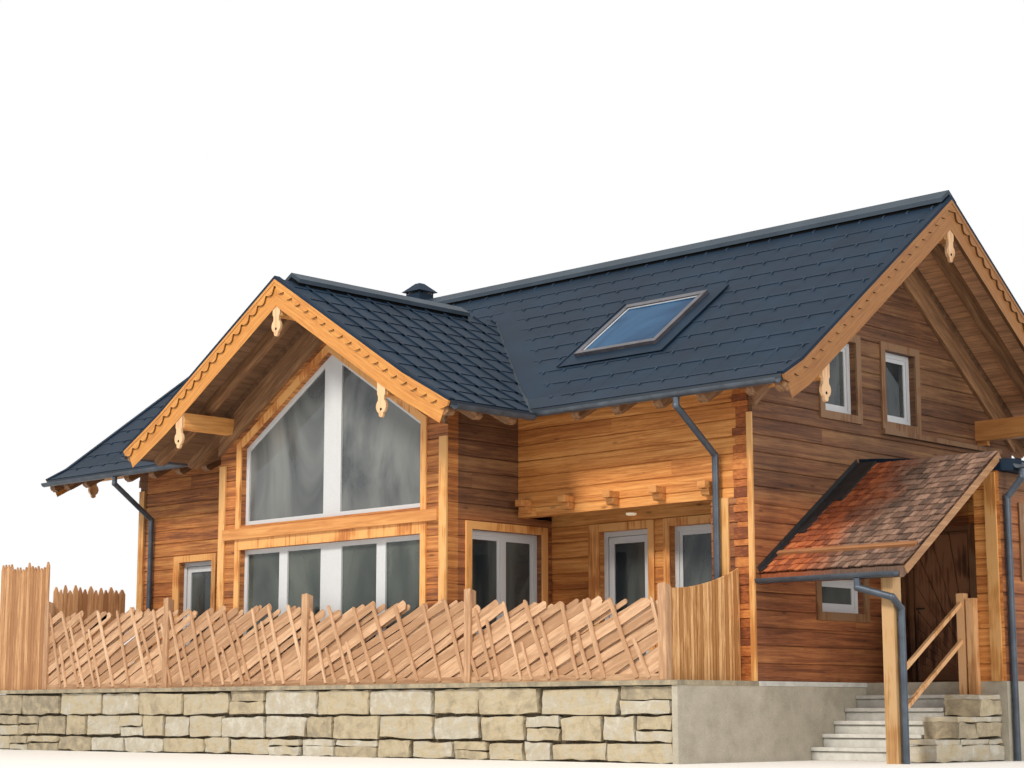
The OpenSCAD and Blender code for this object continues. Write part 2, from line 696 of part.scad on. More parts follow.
// Carved plates that close the purlins' ends, drawn with the top middle at the origin
module pendant() {
    w = pendant_w;
    h = pendant_h;
    difference() {
        union() {
            translate([-w * 0.4, -h * 0.45]) square([w * 0.8, h * 0.45]);
            translate([-w * 0.3, -h * 0.8]) square([w * 0.6, h * 0.5]);
            translate([0, -h * 0.72]) circle(w * 0.5, $fn = 32);
            translate([0, -h + w * 0.22]) circle(w * 0.22, $fn = 24);
        }
        for (s = [-1, 1]) translate([s * w * 0.52, -h * 0.47]) circle(w * 0.2, $fn = 24);
    }
}
module pendants() color(new_wood_color) at_house() {
    for (x = [verge_e - pendant_t, -main_l - verge_w]) {
        along_x(x, x + pendant_t) translate([mid_y, ridge_z - barge_v + rafter_h / 2]) pendant();
        both_slopes() along_x(x, x + pendant_t)
            translate([pendant_y, purlin_top(pendant_y) - seat]) pendant();
    }
    for (x = wing_purlin_x) along_y(wing_verge_y, wing_verge_y + pendant_t)
        translate([x, wing_purlin_top(x) - seat]) pendant();
}

// Boards under the soffit on each gable: a wide one and a proud edge strip below it
frieze_t = 40;
strip_t = 60;
strip_h = 130;
module main_frieze(x, t, v0, v1) both_slopes() along_x(x, x + t) polygon([
    [mid_y - seat / 2, ridge_z - v0], [0, main_top(0) - v0],
    [0, main_top(0) - v1], [mid_y - seat / 2, ridge_z - v1]]);
module wing_frieze(t, v0, v1) both_wing_slopes() along_y(-wing_out - t, -wing_out) polygon([
    [wing_x + seat / 2, wing_ridge_z - v0], [wing_x + wing_w / 2, wing_top(wing_x + wing_w / 2) - v0],
    [wing_x + wing_w / 2, wing_top(wing_x + wing_w / 2) - v1], [wing_x + seat / 2, wing_ridge_z - v1]]);
module around_main_gable() {
    for (y = gable_windows) block(-far, far, y - trim_w - seat, y + gable_window_w + trim_w + seat,
        0, gable_window_z + gable_window_h + trim_w + seat);
    both_slopes() for (y = [mid_y, pendant_y]) main_purlin(-far, far, y, seat);
}
module gable_boards() color(log_color) at_house() {
    difference() {
        union() for (x = [0, -main_l]) {
            main_frieze(x > -1 ? 0 : x - frieze_t, frieze_t, roof_v + seat, roof_v + frieze_h - strip_h);
            main_frieze(x > -1 ? 0 : x - strip_t, strip_t, roof_v + frieze_h - strip_h + seat,
                roof_v + frieze_h);
        }
        around_main_gable();
    }
    difference() {
        union() {
            wing_frieze(frieze_t, wing_roof_v + seat, wing_roof_v + frieze_h - strip_h);
            wing_frieze(strip_t, wing_roof_v + frieze_h - strip_h + seat, wing_roof_v + frieze_h);
        }
        wing_purlins(seat);
        along_y(-far, far) upper_glazing(trim_w + seat);
    }
}

// Beams that stand out of the walls: a ledge across the wing, one on each gable and its console
ledge_h = 160;
ledge_z = lower_pane_z + 160;
ledge_t = 70;
console_b = 170;
console_h = 300;
console_z = gable_window_z - trim_w + 60;
console_in = 950;
console_y = main_w - console_in;
console_l = verge_e - 80;
ledge_y = [mid_y - 290, main_w - 400];
module beams() color(new_wood_color) at_house() {
    block(wing_x - wing_w / 2 + board_w + seat, wing_x + wing_w / 2 - board_w - seat,
        -wing_out - ledge_t, -wing_out, ledge_z, ledge_z + ledge_h);
    block(0, ledge_t, ledge_y[0], ledge_y[1], console_z - 2 * ledge_t, console_z - ledge_t);
    block(0, console_l, console_y - console_b / 2, console_y + console_b / 2, console_z,
        console_z + console_h);
    block(0, console_b, console_y - ledge_t / 2, console_y + ledge_t / 2, console_z - ledge_t + seat,
        console_z - seat);
}

board_w = 150;
board_t = 30;
corner_board_w = 80;
module corner_boards() color(new_wood_color) at_house() {
    block(-corner_w + board_w, -corner_w + 2 * board_w, -board_t, 0, 0, recess_h);
    block(-corner_board_w, 0, -board_t, 0, 0, eave_z - roof_v);
    for (x = [-wing_from_east - board_w, -wing_from_east - wing_w])
        block(x, x + board_w, -wing_out - board_t, -wing_out, 0, wing_eave_z - wing_roof_v);
    block(-main_l, -main_l + board_w, -board_t, 0, 0, eave_z - roof_v);
}

// Glazing of the wing's gable: white frame with a wide central mullion
frame_y = -wing_out + reveal_d;
module glazing_frame() color(white_color) at_house() {
    difference() {
        along_y(frame_y, frame_y + frame_t) upper_glazing(-0.3);
        along_y(frame_y - eps, frame_y + frame_t + eps) difference() {
            upper_glazing(-frame_w - 0.3);
            translate([wing_x - mullion_w / 2, 0]) square([mullion_w, far]);
        }
    }
    difference() {
        along_y(frame_y, frame_y + frame_t) lower_glazing(-0.3);
        for (i = [0:3]) along_y(frame_y - eps, frame_y + frame_t + eps)
            translate([lower_pane_x(i), threshold + frame_w]) square([lower_pane_w,
                lower_pane_z - threshold - 2 * frame_w]);
    }
}
lower_post_w = 460;
sash_w = 190;
lower_pane_w = (glazing_w - lower_post_w - 2 * sash_w - 2 * frame_w) / 4;
function lower_pane_x(i) = wing_x - glazing_w / 2 + frame_w + i * (lower_pane_w + sash_w)
    + (i > 1 ? lower_post_w - sash_w : 0);
pane_y = frame_y + (frame_t - pane_t) / 2;
module glazing_panes() color(glass_color, 0.4) at_house() {
    along_y(pane_y, pane_y + pane_t) difference() {
        upper_glazing(-frame_w - 0.6);
        translate([wing_x - mullion_w / 2 - 0.3, 0]) square([mullion_w + 0.6, far]);
    }
    for (i = [0:3]) along_y(pane_y, pane_y + pane_t)
        translate([lower_pane_x(i) + 0.3, threshold + frame_w + 0.3])
            square([lower_pane_w - 0.6, lower_pane_z - threshold - 2 * frame_w - 0.6]);
}

// A fixed window drawn in the XZ plane with its outer face at y = 0
module window_frame(w, h, n = 1) along_y(0, frame_t) difference() {
    translate([0.3, 0.3]) square([w - 0.6, h - 0.6]);
    for (i = [0:n - 1]) translate([frame_w + i * (w - frame_w) / n, frame_w])
        square([(w - frame_w) / n - frame_w, h - 2 * frame_w]);
}
module window_pane(w, h, n = 1) for (i = [0:n - 1])
    along_y((frame_t - pane_t) / 2, (frame_t + pane_t) / 2)
        translate([frame_w + i * (w - frame_w) / n + 0.3, frame_w + 0.3])
            square([(w - frame_w) / n - frame_w - 0.6, h - 2 * frame_w - 0.6]);
// Four boards: the head and the sill run past the two between them
module window_trim(w, h) {
    for (z = [-trim_w, h]) block(-trim_w, w + trim_w, -trim_t, 0, z, z + trim_w);
    for (x = [-trim_w, w]) block(x, x + trim_w, -trim_t, 0, seat, h - seat);
}
// Places a front-facing piece on the east, west and rear walls
module on_east(y, z) translate([0, y, z]) rotate([0, 0, 90]) children();
module on_west(y, z) translate([-main_l, y, z]) rotate([0, 0, -90]) children();
module on_rear(x, z) translate([x, main_w, z]) rotate([0, 0, 180]) children();
module inset() translate([0, reveal_d, 0]) children();

module window_frames() color(white_color) at_house() {
    for (y = gable_windows) {
        on_east(y, gable_window_z) inset() window_frame(gable_window_w, gable_window_h);
        on_west(y + gable_window_w, gable_window_z) inset() window_frame(gable_window_w, gable_window_h);
    }
    on_east(low_window_y, low_window_z) inset() window_frame(low_window_w, low_window_h);
    translate([annex_w, 0, 0]) on_east(annex_window_y, annex_window_z) inset()
        window_frame(annex_window_w, annex_window_h);
    translate([-wing_from_east, 0, 0]) on_east(side_window_y, side_window_head - side_window_h)
        inset() window_frame(side_window_w, side_window_h, 2);
    for (x = rear_windows) on_rear(x + rear_window_w, rear_window_z)
        inset() window_frame(rear_window_w, rear_window_h, 2);
    translate([door_light_x, recess_d, threshold]) inset()
        window_frame(door_light_w, door_h - threshold, 1);
}
module window_panes() color(glass_color, 0.4) at_house() {
    for (y = gable_windows) {
        on_east(y, gable_window_z) inset() window_pane(gable_window_w, gable_window_h);
        on_west(y + gable_window_w, gable_window_z) inset() window_pane(gable_window_w, gable_window_h);
    }
    on_east(low_window_y, low_window_z) inset() window_pane(low_window_w, low_window_h);
    translate([-wing_from_east, 0, 0]) on_east(side_window_y, side_window_head - side_window_h)
        inset() window_pane(side_window_w, side_window_h, 2);
    for (x = rear_windows) on_rear(x + rear_window_w, rear_window_z)
        inset() window_pane(rear_window_w, rear_window_h, 2);
    on_east(low_window_y, low_window_z) inset() window_pane(low_window_w, low_window_h);
    translate([annex_w, 0, 0]) on_east(annex_window_y, annex_window_z) inset()
        window_pane(annex_window_w, annex_window_h);
    translate([door_light_x, recess_d, threshold]) inset()
        window_pane(door_light_w, door_h - threshold, 1);
}
module window_trims() color(new_wood_color) at_house() {
    on_east(low_window_y, low_window_z) window_trim(low_window_w, low_window_h);
    translate([-wing_from_east, 0, 0]) on_east(side_window_y, side_window_head - side_window_h)
        window_trim(side_window_w, side_window_h);
    translate([annex_w, 0, 0]) on_east(annex_window_y, annex_window_z)
        window_trim(annex_window_w, annex_window_h);
    for (y = gable_windows) {
        on_east(y, gable_window_z) window_trim(gable_window_w, gable_window_h);
        on_west(y + gable_window_w, gable_window_z) window_trim(gable_window_w, gable_window_h);
    }
    for (x = rear_windows) on_rear(x + rear_window_w, rear_window_z)
        window_trim(rear_window_w, rear_window_h);
}

// Two boards beside a door and one over it, and the boards round the gable's glazing
module door_trim(w, left, right) {
    block(-left, -seat, -trim_t, 0, 0, door_h);
    block(w + seat, w + right, -trim_t, 0, 0, door_h);
    block(-left, w + right, -trim_t, 0, door_h + seat, door_h + trim_w);
}
module rake_board() polygon([
    [wing_x + seat / 2, glazing_head + seat],
    [wing_x + trim_x, glazing_side_z - trim_w * tan(wing_pitch) + seat],
    [wing_x + trim_x, glazing_side_z - trim_w * tan(wing_pitch) + trim_w / cos(wing_pitch)],
    [wing_x + seat / 2, glazing_head + trim_w / cos(wing_pitch)]]);
module wall_trims() color(new_wood_color) at_house() {
    translate([garden_door_x, 0, 0]) door_trim(glass_door_w, 1.5 * trim_w, trim_w);
    translate([terrace_door_x, recess_d, 0]) door_trim(glass_door_w, 1.8 * trim_w, trim_w);
    translate([door_light_x, recess_d, 0]) door_trim(door_light_w, trim_w, trim_w);
    translate([entrance_x, entrance_y, 0])
        block(entrance_w + seat, entrance_w + trim_w, -trim_t, 0, 0, door_h);
    both_wing_slopes() along_y(-wing_out - trim_t, -wing_out) {
        rake_board();
        polygon([[wing_x + glazing_w / 2, ledge_z + ledge_h + seat],
            [wing_x + trim_x, ledge_z + ledge_h + seat],
            [wing_x + trim_x, glazing_side_z - trim_w * tan(wing_pitch)],
            [wing_x + glazing_w / 2, glazing_side_z]]);
        translate([wing_x + glazing_w / 2, seat]) square([trim_w, ledge_z - 2 * seat]);
    }
    block(wing_x - glazing_w / 2 + seat, wing_x + glazing_w / 2 - seat, -wing_out - trim_t, -wing_out,
        lower_pane_z, ledge_z - seat);
}

// Roof window lying on the front slope
skylight_gap = seat;
skylight_t = 90;
sky_pane_z = skylight_t - 40;
sky_s = (skylight_y[1] - skylight_y[0]) / cos(main_pitch);
module on_front_slope(y) translate([0, y, main_top(y)]) rotate([main_pitch, 0, 0]) children();
module skylight_hole() on_front_slope(skylight_y[0])
    block(skylight_x[0] - skylight_gap, skylight_x[1] + skylight_gap, -skylight_gap,
        sky_s + skylight_gap, -2 * roof_t, roof_t);
module skylight() color("dimgray") at_house() on_front_slope(skylight_y[0]) {
    difference() {
        block(skylight_x[0], skylight_x[1], 0, sky_s, -roof_t + 1, skylight_t);
        block(skylight_x[0] + frame_t, skylight_x[1] - frame_t, frame_t, sky_s - frame_t,
            -roof_t, skylight_t + 1);
    }
    block(skylight_x[0] + frame_t, skylight_x[1] - frame_t, frame_t, sky_s - frame_t,
        sky_pane_z, sky_pane_z + pane_t);
}

// Doors: fixed three-sided frames, and leaves that swing inwards
module door_frame(w) along_y(0, frame_t) difference() {
    square([w, door_h]);
    translate([frame_w, -eps]) square([w - 2 * frame_w, door_h - frame_w + eps]);
}
module door_frames() color(white_color) at_house() {
    for (p = [[garden_door_x, reveal_d], [terrace_door_x, recess_d + reveal_d]])
        translate([p[0], p[1], 0]) {
            door_frame(glass_door_w);
            frame_hinges(hinge_x, 1);
        }
    translate([entrance_x, entrance_y + reveal_d, 0]) {
        door_frame(entrance_w);
        frame_hinges(entrance_w - hinge_x, -1);
    }
    block(0, entrance_x, entrance_y, entrance_y + wall_t, 0, door_h);
}
module leaf_outline(w) translate([frame_w + leaf_gap, threshold])
    square([w - 2 * frame_w - 2 * leaf_gap, door_h - frame_w - leaf_gap - threshold]);
leaf_y = frame_t - leaf_t;
module glass_leaf(w) {
    along_y(leaf_y, frame_t) difference() {
        leaf_outline(w);
        translate([frame_w + leaf_gap + stile_w, threshold + stile_w])
            square([w - 2 * (frame_w + leaf_gap + stile_w),
                door_h - frame_w - leaf_gap - threshold - 2 * stile_w]);
    }
    along_y(leaf_y + (leaf_t - pane_t) / 2, leaf_y + (leaf_t + pane_t) / 2)
        translate([frame_w + leaf_gap + stile_w, threshold + stile_w])
            square([w - 2 * (frame_w + leaf_gap + stile_w),
                door_h - frame_w - leaf_gap - threshold - 2 * stile_w]);
}
// Hinge knuckles on the inner face: the frame carries the lower one, the leaf the upper
hinge_r = 9;
hinge_h = 45;
hinge_flap = 30;
hinge_in = [260, 380];
hinge_z = [hinge_in[0], door_h - hinge_in[1]];
module knuckles(x, side, z0, z1) for (z = hinge_z) translate([x, frame_t + hinge_r + seat, z]) {
    translate([0, 0, z0]) cylinder(h = z1 - z0, r = hinge_r, $fn = 24);
    block(min(0, side * hinge_flap), max(0, side * hinge_flap), -hinge_r - seat, -hinge_r / 2, z0, z1);
}
module leaf_hinges(x, side) knuckles(x, side, seat, hinge_h);
module frame_hinges(x, side) knuckles(x, -side, -hinge_h, 0);
hinge_x = frame_w + leaf_gap / 2;
// A lever on its plate, on the outer face
handle_z = 1020;
plate_s = [40, 8, 180];
lever_s = [110, 14, 20];
lever_y = leaf_y - 50;
module handle(x, side) {
    z = handle_z;
    r = lever_s[2] / 2;
    block(x - plate_s[0] / 2, x + plate_s[0] / 2, leaf_y - plate_s[1], leaf_y, z - plate_s[2] / 2,
        z + plate_s[2] / 2);
    block(x - r, x + r, lever_y, leaf_y - plate_s[1], z - r, z + r);
    block(min(x - r, x - r + side * lever_s[0]), max(x + r, x + r + side * lever_s[0]),
        lever_y - lever_s[1], lever_y, z - r, z + r);
}
module terrace_door() color(white_color) at_house()
    translate([terrace_door_x, recess_d + reveal_d, 0]) {
        glass_leaf(glass_door_w);
        leaf_hinges(hinge_x, 1);
        handle(glass_door_w - frame_w - leaf_gap - stile_w / 2, -1);
    }
module garden_door() color(white_color) at_house() translate([garden_door_x, reveal_d, 0]) {
    glass_leaf(glass_door_w);
    leaf_hinges(hinge_x, 1);
    handle(glass_door_w - frame_w - leaf_gap - stile_w / 2, -1);
}
module entrance_door() color("saddlebrown") at_house()
    translate([entrance_x, entrance_y + reveal_d, 0]) {
        along_y(leaf_y, frame_t) leaf_outline(entrance_w);
        leaf_hinges(entrance_w - hinge_x, -1);
        handle(frame_w + leaf_gap + 60, 1);
    }

// Drainage
gutter_r = gutter_d / 2;
gutter_wall = 5;
gutter_drop = 60;
module gutter(l) rotate([0, 90, 0]) difference() {
    cylinder(h = l, r = gutter_r, $fn = 24);
    translate([0, 0, -eps]) cylinder(h = l + 2 * eps, r = gutter_r - gutter_wall, $fn = 24);
    translate([-gutter_d, -gutter_d, -eps]) cube([gutter_d, 2 * gutter_d, l + 2 * eps]);
}
valley_w = 40;
module main_gutter(x0, x1) translate([x0, -eave_out - gutter_r - seat, eave_z - gutter_drop])
    gutter(x1 - x0);
module gutters() color("dimgray") at_house() {
    main_gutter(wing_x + wing_half + valley_w, verge_e);
    main_gutter(-main_l - verge_w, wing_x - wing_half - valley_w);
    translate([0, main_w, 0]) mirror([0, 1, 0]) main_gutter(-main_l - verge_w, verge_e);
    translate([wing_x, 0, 0]) for (s = [-1, 1]) mirror([s < 0 ? 1 : 0, 0, 0])
        translate([wing_half + gutter_r + seat, -eave_out - gutter_d - 2 * seat, wing_eave_z - gutter_drop])
            rotate([0, 0, -90]) gutter(wing_verge + wing_out - eave_out - gutter_d - 2 * seat);
    translate([0, porch_y - gutter_r - seat, porch_z - gutter_drop]) gutter(annex_w - gutter_drop);
    translate([annex_w + annex_out + gutter_r + seat, annex_y + annex_l + annex_out,
        annex_eave_z - annex_out * tan(annex_pitch) - gutter_drop])
        rotate([0, 0, -90]) gutter(annex_l + annex_out);
}
pipe_r = pipe_d / 2;
pipe_off = pipe_r + 10;
module pipe(x, y, z0, z1) translate([x, y, z0]) cylinder(h = z1 - z0, d = pipe_d, $fn = 24);
// Clips that hold a pipe, reaching from its centre to the piece that carries it
clip_s = 24;
clip_z = [200, 1700];
module clips_y(x, y0, y1, base) for (z = clip_z)
    block(x - clip_s / 2, x + clip_s / 2, y0, y1, base + z, base + z + clip_s);
module clips_x(x0, x1, y, base) for (z = clip_z)
    block(x0, x1, y - clip_s / 2, y + clip_s / 2, base + z, base + z + clip_s);
// A slanting length between two vertical ones, with a wider elbow at each end
elbow_d = pipe_d + 8;
module limb(a, b) {
    d = b - a;
    l = norm(d);
    translate(a) rotate([0, acos(d[2] / l), atan2(d[1], d[0])]) cylinder(h = l, d = pipe_d, $fn = 24);
    for (p = [a, b]) translate(p) sphere(d = elbow_d, $fn = 24);
}
module swan_neck(points, z0) {
    last = points[len(points) - 1];
    pipe(points[0][0], points[0][1], points[0][2], points[0][2] + neck_h);
    for (i = [0:len(points) - 2]) limb(points[i], points[i + 1]);
    pipe(last[0], last[1], z0, last[2]);
}
neck_h = 110;
neck_run = 500;
neck_top = neck_h + gutter_drop + gutter_r + seat;
east_pipe_x = -corner_w + board_w;
west_pipe_x = -main_l + 450;
front_pipe_y = -board_t - pipe_off;
front_pipe_z = eave_z - eave_out;
porch_pipe = [post_x + post_s / 2 + pipe_off, post_y + post_s / 2, porch_z - neck_run];
porch_neck = [post_x - 2 * post_s, porch_y - gutter_r - seat, porch_z - neck_top];
annex_pipe = [annex_w + pipe_off, annex_y + wall_t / 2, annex_eave_z - neck_run];
annex_neck = [annex_w + annex_out + gutter_r + seat, annex_pipe[1],
    annex_eave_z - annex_out * tan(annex_pitch) - neck_top];
module downpipes() color("dimgray") at_house() {
    for (x = [east_pipe_x, west_pipe_x]) swan_neck([
        [x, -eave_out - gutter_r - seat, eave_z - neck_top], [x, front_pipe_y, front_pipe_z]], 0);
    clips_y(east_pipe_x, front_pipe_y, -board_t - seat, 0);
    clips_y(west_pipe_x, front_pipe_y, -seat, 0);
    swan_neck([porch_neck, [porch_pipe[0], porch_neck[1] + 20, porch_pipe[2] + 130], porch_pipe], -floor_h);
    clips_x(porch_pipe[0] - pipe_off + seat, porch_pipe[0], porch_pipe[1], -floor_h);
    swan_neck([annex_neck, annex_pipe], -floor_h);
    clips_x(annex_w + seat, annex_pipe[0], annex_pipe[1], 0);
}

module porch_post() color(new_wood_color) at_house() intersection() {
    block(post_x - post_s / 2, post_x + post_s / 2, post_y, post_y + post_s, -floor_h, far);
    along_x(0, annex_w) polygon([[porch_y, -floor_h], [annex_y, -floor_h],
        [annex_y, porch_top(annex_y) - porch_v], [porch_y, porch_top(porch_y) - porch_v]]);
}

// Railing: a carved newel on the cheek wall, two sloping rails and two short level ones
rail_s = 45;
rail_post_s = 110;
rail_z = 1020;
rail_drop = 480;
landing_rail_drop = 400;
rail_v = rail_s * 1.4;
newel_top = rail_z + 110;
rail_slope = riser_h / tread_d;
module sloping_rail(z) along_x(stair_w + rail_post_s / 2 - rail_s / 2,
    stair_w + rail_post_s / 2 + rail_s / 2) polygon([
        [annex_y - rail_post_s, z], [annex_y - rail_post_s, z - rail_v],
        [rail_foot_y, z - rail_v - rail_run * rail_slope],
        [rail_foot_y, z - rail_run * rail_slope]]);
rail_foot_y = annex_y - stair_run + 2 * rail_s;
rail_run = annex_y - rail_post_s - rail_foot_y;
module stair_railing() color(new_wood_color) at_house() {
    block(stair_w, stair_w + rail_post_s, annex_y - rail_post_s, annex_y, -riser_h, newel_top);
    for (z = [rail_z, rail_z - rail_drop]) sloping_rail(z);
    for (i = [0:2]) block(stair_w + rail_post_s, annex_w - stub_w - rail_post_s,
        annex_y - rail_post_s / 2 - rail_s / 2, annex_y - rail_post_s / 2 + rail_s / 2,
        rail_z - i * landing_rail_drop - rail_s, rail_z - i * landing_rail_drop);
    block(annex_w - stub_w - rail_post_s, annex_w - stub_w, annex_y - rail_post_s, annex_y - seat,
        -riser_h, rail_z + rail_s);
    block(stair_w + rail_post_s / 2 - rail_s, stair_w + rail_post_s / 2 + rail_s,
        rail_foot_y - 2 * rail_s, rail_foot_y, -floor_h + cheek_h, rail_z - rail_run * rail_slope);
}

// Terrace fence
fence_x0 = -250;
fence_y = -terrace_d + fence_post_s / 2 + 20;
panel_t = 25;
panel_z = 60;
function fence_post_x(i) = fence_x0 - i * fence_bay;
function fence_top(i) = fence_h + i * fence_step;
module fence_posts() color(new_wood_color) at_house() for (i = [0:fence_bays])
    translate([fence_post_x(i) - fence_post_s / 2, fence_y - fence_post_s / 2, 0])
        cube([fence_post_s, fence_post_s, fence_top(i)]);
// How far the lattice ends below its post
lattice_drop = 190;

// One bay: a foot plank, boards that lean to the right and sticks that lean to the left
module lattice_bars(x0, x1, h, gap, lean, w) intersection() {
    for (x = [x0 - h * tan(lean):gap:x1 + h * tan(lean)])
        translate([x, foot_z + foot_h / 2]) rotate(90 - lean) translate([0, -w / 2])
            square([h / cos(lean), w]);
    translate([x0, foot_z + foot_h / 2]) square([x1 - x0, 2 * h]);
}
module lattice_bay(i) {
    x0 = fence_post_x(i + 1) + fence_post_s / 2;
    x1 = fence_post_x(i) - fence_post_s / 2;
    h = fence_top(i) - lattice_drop;
    along_y(fence_y - slat_t, fence_y) {
        lattice_bars(x0, x1, h, slat_gap, slat_lean, slat_w);
        translate([x0, foot_z]) square([x1 - x0, foot_h]);
    }
    along_y(fence_y, fence_y + stick_t)
        lattice_bars(x0, x1, h + stick_t, stick_gap, -stick_lean, stick_t);
}
module fence_lattice() color("tan") at_house() for (i = [0:fence_bays - 1]) lattice_bay(i);

// Close-boarded panels: two run back to the house, one closes the west end
west_panel_h = 2180;
sweep_h = 330;
sweep_in = 60;
sweep_l = -fence_y;
sweep_r = (sweep_l * sweep_l + sweep_h * sweep_h) / (2 * sweep_h);
west_side_h = fence_top(fence_bays) - 250;
module fence_boards() color("tan") at_house() {
    west_x = fence_post_x(fence_bays);
    back_y = fence_y + fence_post_s / 2 + seat;
    // Its top sweeps up to the house along an arc
    along_x(fence_x0 - panel_t / 2, fence_x0 + panel_t / 2) difference() {
        translate([back_y, panel_z]) square([-board_t - seat - back_y, fence_h + sweep_h - panel_z]);
        translate([back_y, fence_h - sweep_in + sweep_r]) circle(sweep_r, $fn = 96);
    }
    block(-terrace_l, west_x - fence_post_s / 2, fence_y, fence_y + panel_t, panel_z, west_panel_h);
    block(west_x - panel_t / 2, west_x + panel_t / 2, back_y, 0, panel_z, west_side_h);
}

plinth();
stone_wall();
terrace_slab();
ground_floor();
upper_floor();
front_wall_west();
front_wall_middle();
front_wall_west_head();
wing_front_wall();
wing_east_wall();
wing_west_wall();
recess_wall_west();
recess_wall_east();
recess_wall_head();
corner_wall();
front_wall_upper();
corbels();
east_wall();
west_wall();
rear_wall();
annex_base();
annex_side_walls();
annex_front_wall();
annex_front_head();
stairs();
stair_cheek();
main_roof_front();
main_roof_rear();
wing_roof();
annex_roof();
porch_roof();
rafters();
gable_boards();
beams();
ridge_caps();
roof_vent();
snow_beam();
barge_boards();
purlins();
pendants();
corner_boards();
glazing_frame();
glazing_panes();
window_frames();
window_panes();
window_trims();
wall_trims();
skylight();
door_frames();
entrance_door();
terrace_door();
garden_door();
gutters();
downpipes();
porch_post();
stair_railing();
fence_posts();
fence_lattice();
fence_boards();
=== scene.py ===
import bpy, bmesh, math, random
from mathutils import Vector, Matrix, noise


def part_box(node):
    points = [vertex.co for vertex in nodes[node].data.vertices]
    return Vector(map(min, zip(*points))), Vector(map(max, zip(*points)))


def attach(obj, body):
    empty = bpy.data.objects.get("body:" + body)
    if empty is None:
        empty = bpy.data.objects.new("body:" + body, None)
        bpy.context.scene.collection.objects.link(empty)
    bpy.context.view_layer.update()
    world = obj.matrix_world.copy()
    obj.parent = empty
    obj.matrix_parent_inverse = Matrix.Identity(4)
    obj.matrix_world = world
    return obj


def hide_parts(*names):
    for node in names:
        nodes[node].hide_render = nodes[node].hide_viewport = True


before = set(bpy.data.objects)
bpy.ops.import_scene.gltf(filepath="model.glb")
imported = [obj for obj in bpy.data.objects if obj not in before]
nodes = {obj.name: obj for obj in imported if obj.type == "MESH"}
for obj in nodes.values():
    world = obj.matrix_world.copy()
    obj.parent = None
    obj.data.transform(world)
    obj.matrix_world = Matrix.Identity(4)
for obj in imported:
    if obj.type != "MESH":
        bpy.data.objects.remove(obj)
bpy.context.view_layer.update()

## View, floor and light
# Eye-level view from the south-east corner of the plot, on a plain pale floor,
# in even studio light with a broad lamp in front of the gable.
cam = bpy.data.cameras.new("view")
cam.sensor_width, cam.lens = 36, 69.19
cam.clip_end = 300
view = bpy.data.objects.new("view", cam)
bpy.context.collection.objects.link(view)
view.location = (21.868, -23.436, 0.611)
yaw, pitch, roll = map(math.radians, (44.0, 9.48, -0.07))
view.rotation_mode = "QUATERNION"
look = Vector((-math.sin(yaw) * math.cos(pitch), math.cos(yaw) * math.cos(pitch), math.sin(pitch)))
view.rotation_quaternion = look.to_track_quat("-Z", "Y") @ Matrix.Rotation(roll, 3, "Z").to_quaternion()
bpy.context.scene.camera = view
bpy.context.scene.view_settings.view_transform = "Standard"


def srgb(hexcode):
    """An sRGB hex colour as linear RGBA."""
    c = [int(hexcode[i:i + 2], 16) / 255 for i in (1, 3, 5)]
    return [v / 12.92 if v <= 0.04045 else ((v + 0.055) / 1.055) ** 2.4 for v in c] + [1]


def add(tree, kind, inputs=None, out=0, **settings):
    """Adds a node and returns one of its outputs.

    settings name its properties or sockets; a socket takes a value or another node's output."""
    n = tree.nodes.new(kind)
    inputs = dict(inputs or {})
    for key, value in settings.items():
        if hasattr(n, key):
            setattr(n, key, value)
        else:
            inputs[key.replace("_", " ")] = value
    for key, value in inputs.items():
        if isinstance(value, bpy.types.NodeSocket):
            tree.links.new(value, n.inputs[key])
        elif value is not None:
            n.inputs[key].default_value = value
    return n.outputs[out] if len(n.outputs) else None


def calc(t, operation, a, b=None, c=None):
    return add(t, "ShaderNodeMath", {0: a, 1: b, 2: c}, operation=operation)


def begin(name):
    """A new material with its node tree and its Object coordinates."""
    m = bpy.data.materials.new(name)
    m.use_nodes = True
    m.node_tree.nodes.clear()
    return m, m.node_tree, add(m.node_tree, "ShaderNodeTexCoord", out="Object")


def surface(t, colour, roughness, height=None, strength=0.0, distance=0.0, **more):
    """Ends a material: a Principled shader with a bump of the given height."""
    bump = None
    if height is not None:
        bump = add(t, "ShaderNodeBump", {"Height": height}, Strength=strength, Distance=distance)
    shader = add(t, "ShaderNodeBsdfPrincipled", {"Base Color": colour, "Normal": bump}, Roughness=roughness,
                 **more)
    add(t, "ShaderNodeOutputMaterial", {"Surface": shader})


floor_me = bpy.data.meshes.new("studio_floor")
floor_me.from_pydata([(-120, -60, 0), (60, -60, 0), (60, 150, 0), (-120, 150, 0)], [], [(0, 1, 2, 3)])
floor = bpy.data.objects.new("studio_floor", floor_me)
bpy.context.collection.objects.link(floor)
matt_floor, t, _ = begin("matt_studio_floor")
surface(t, srgb("#e9e7e2"), 0.9)
floor_me.materials.append(matt_floor)

world = bpy.data.worlds.new("white_room")
bpy.context.scene.world = world
world.use_nodes = True
t = world.node_tree
t.nodes.clear()
rays = add(t, "ShaderNodeLightPath").node.outputs
seen = calc(t, "MAXIMUM", rays["Is Camera Ray"], rays["Is Glossy Ray"])
seen = calc(t, "MAXIMUM", seen, rays["Is Transmission Ray"])
soft = add(t, "ShaderNodeBackground", Color=srgb("#f1f4f8"), Strength=0.62)
white = add(t, "ShaderNodeBackground", Color=(1, 1, 1, 1), Strength=1.0)
add(t, "ShaderNodeOutputWorld", {"Surface": add(t, "ShaderNodeMixShader", {0: seen, 1: soft, 2: white})})


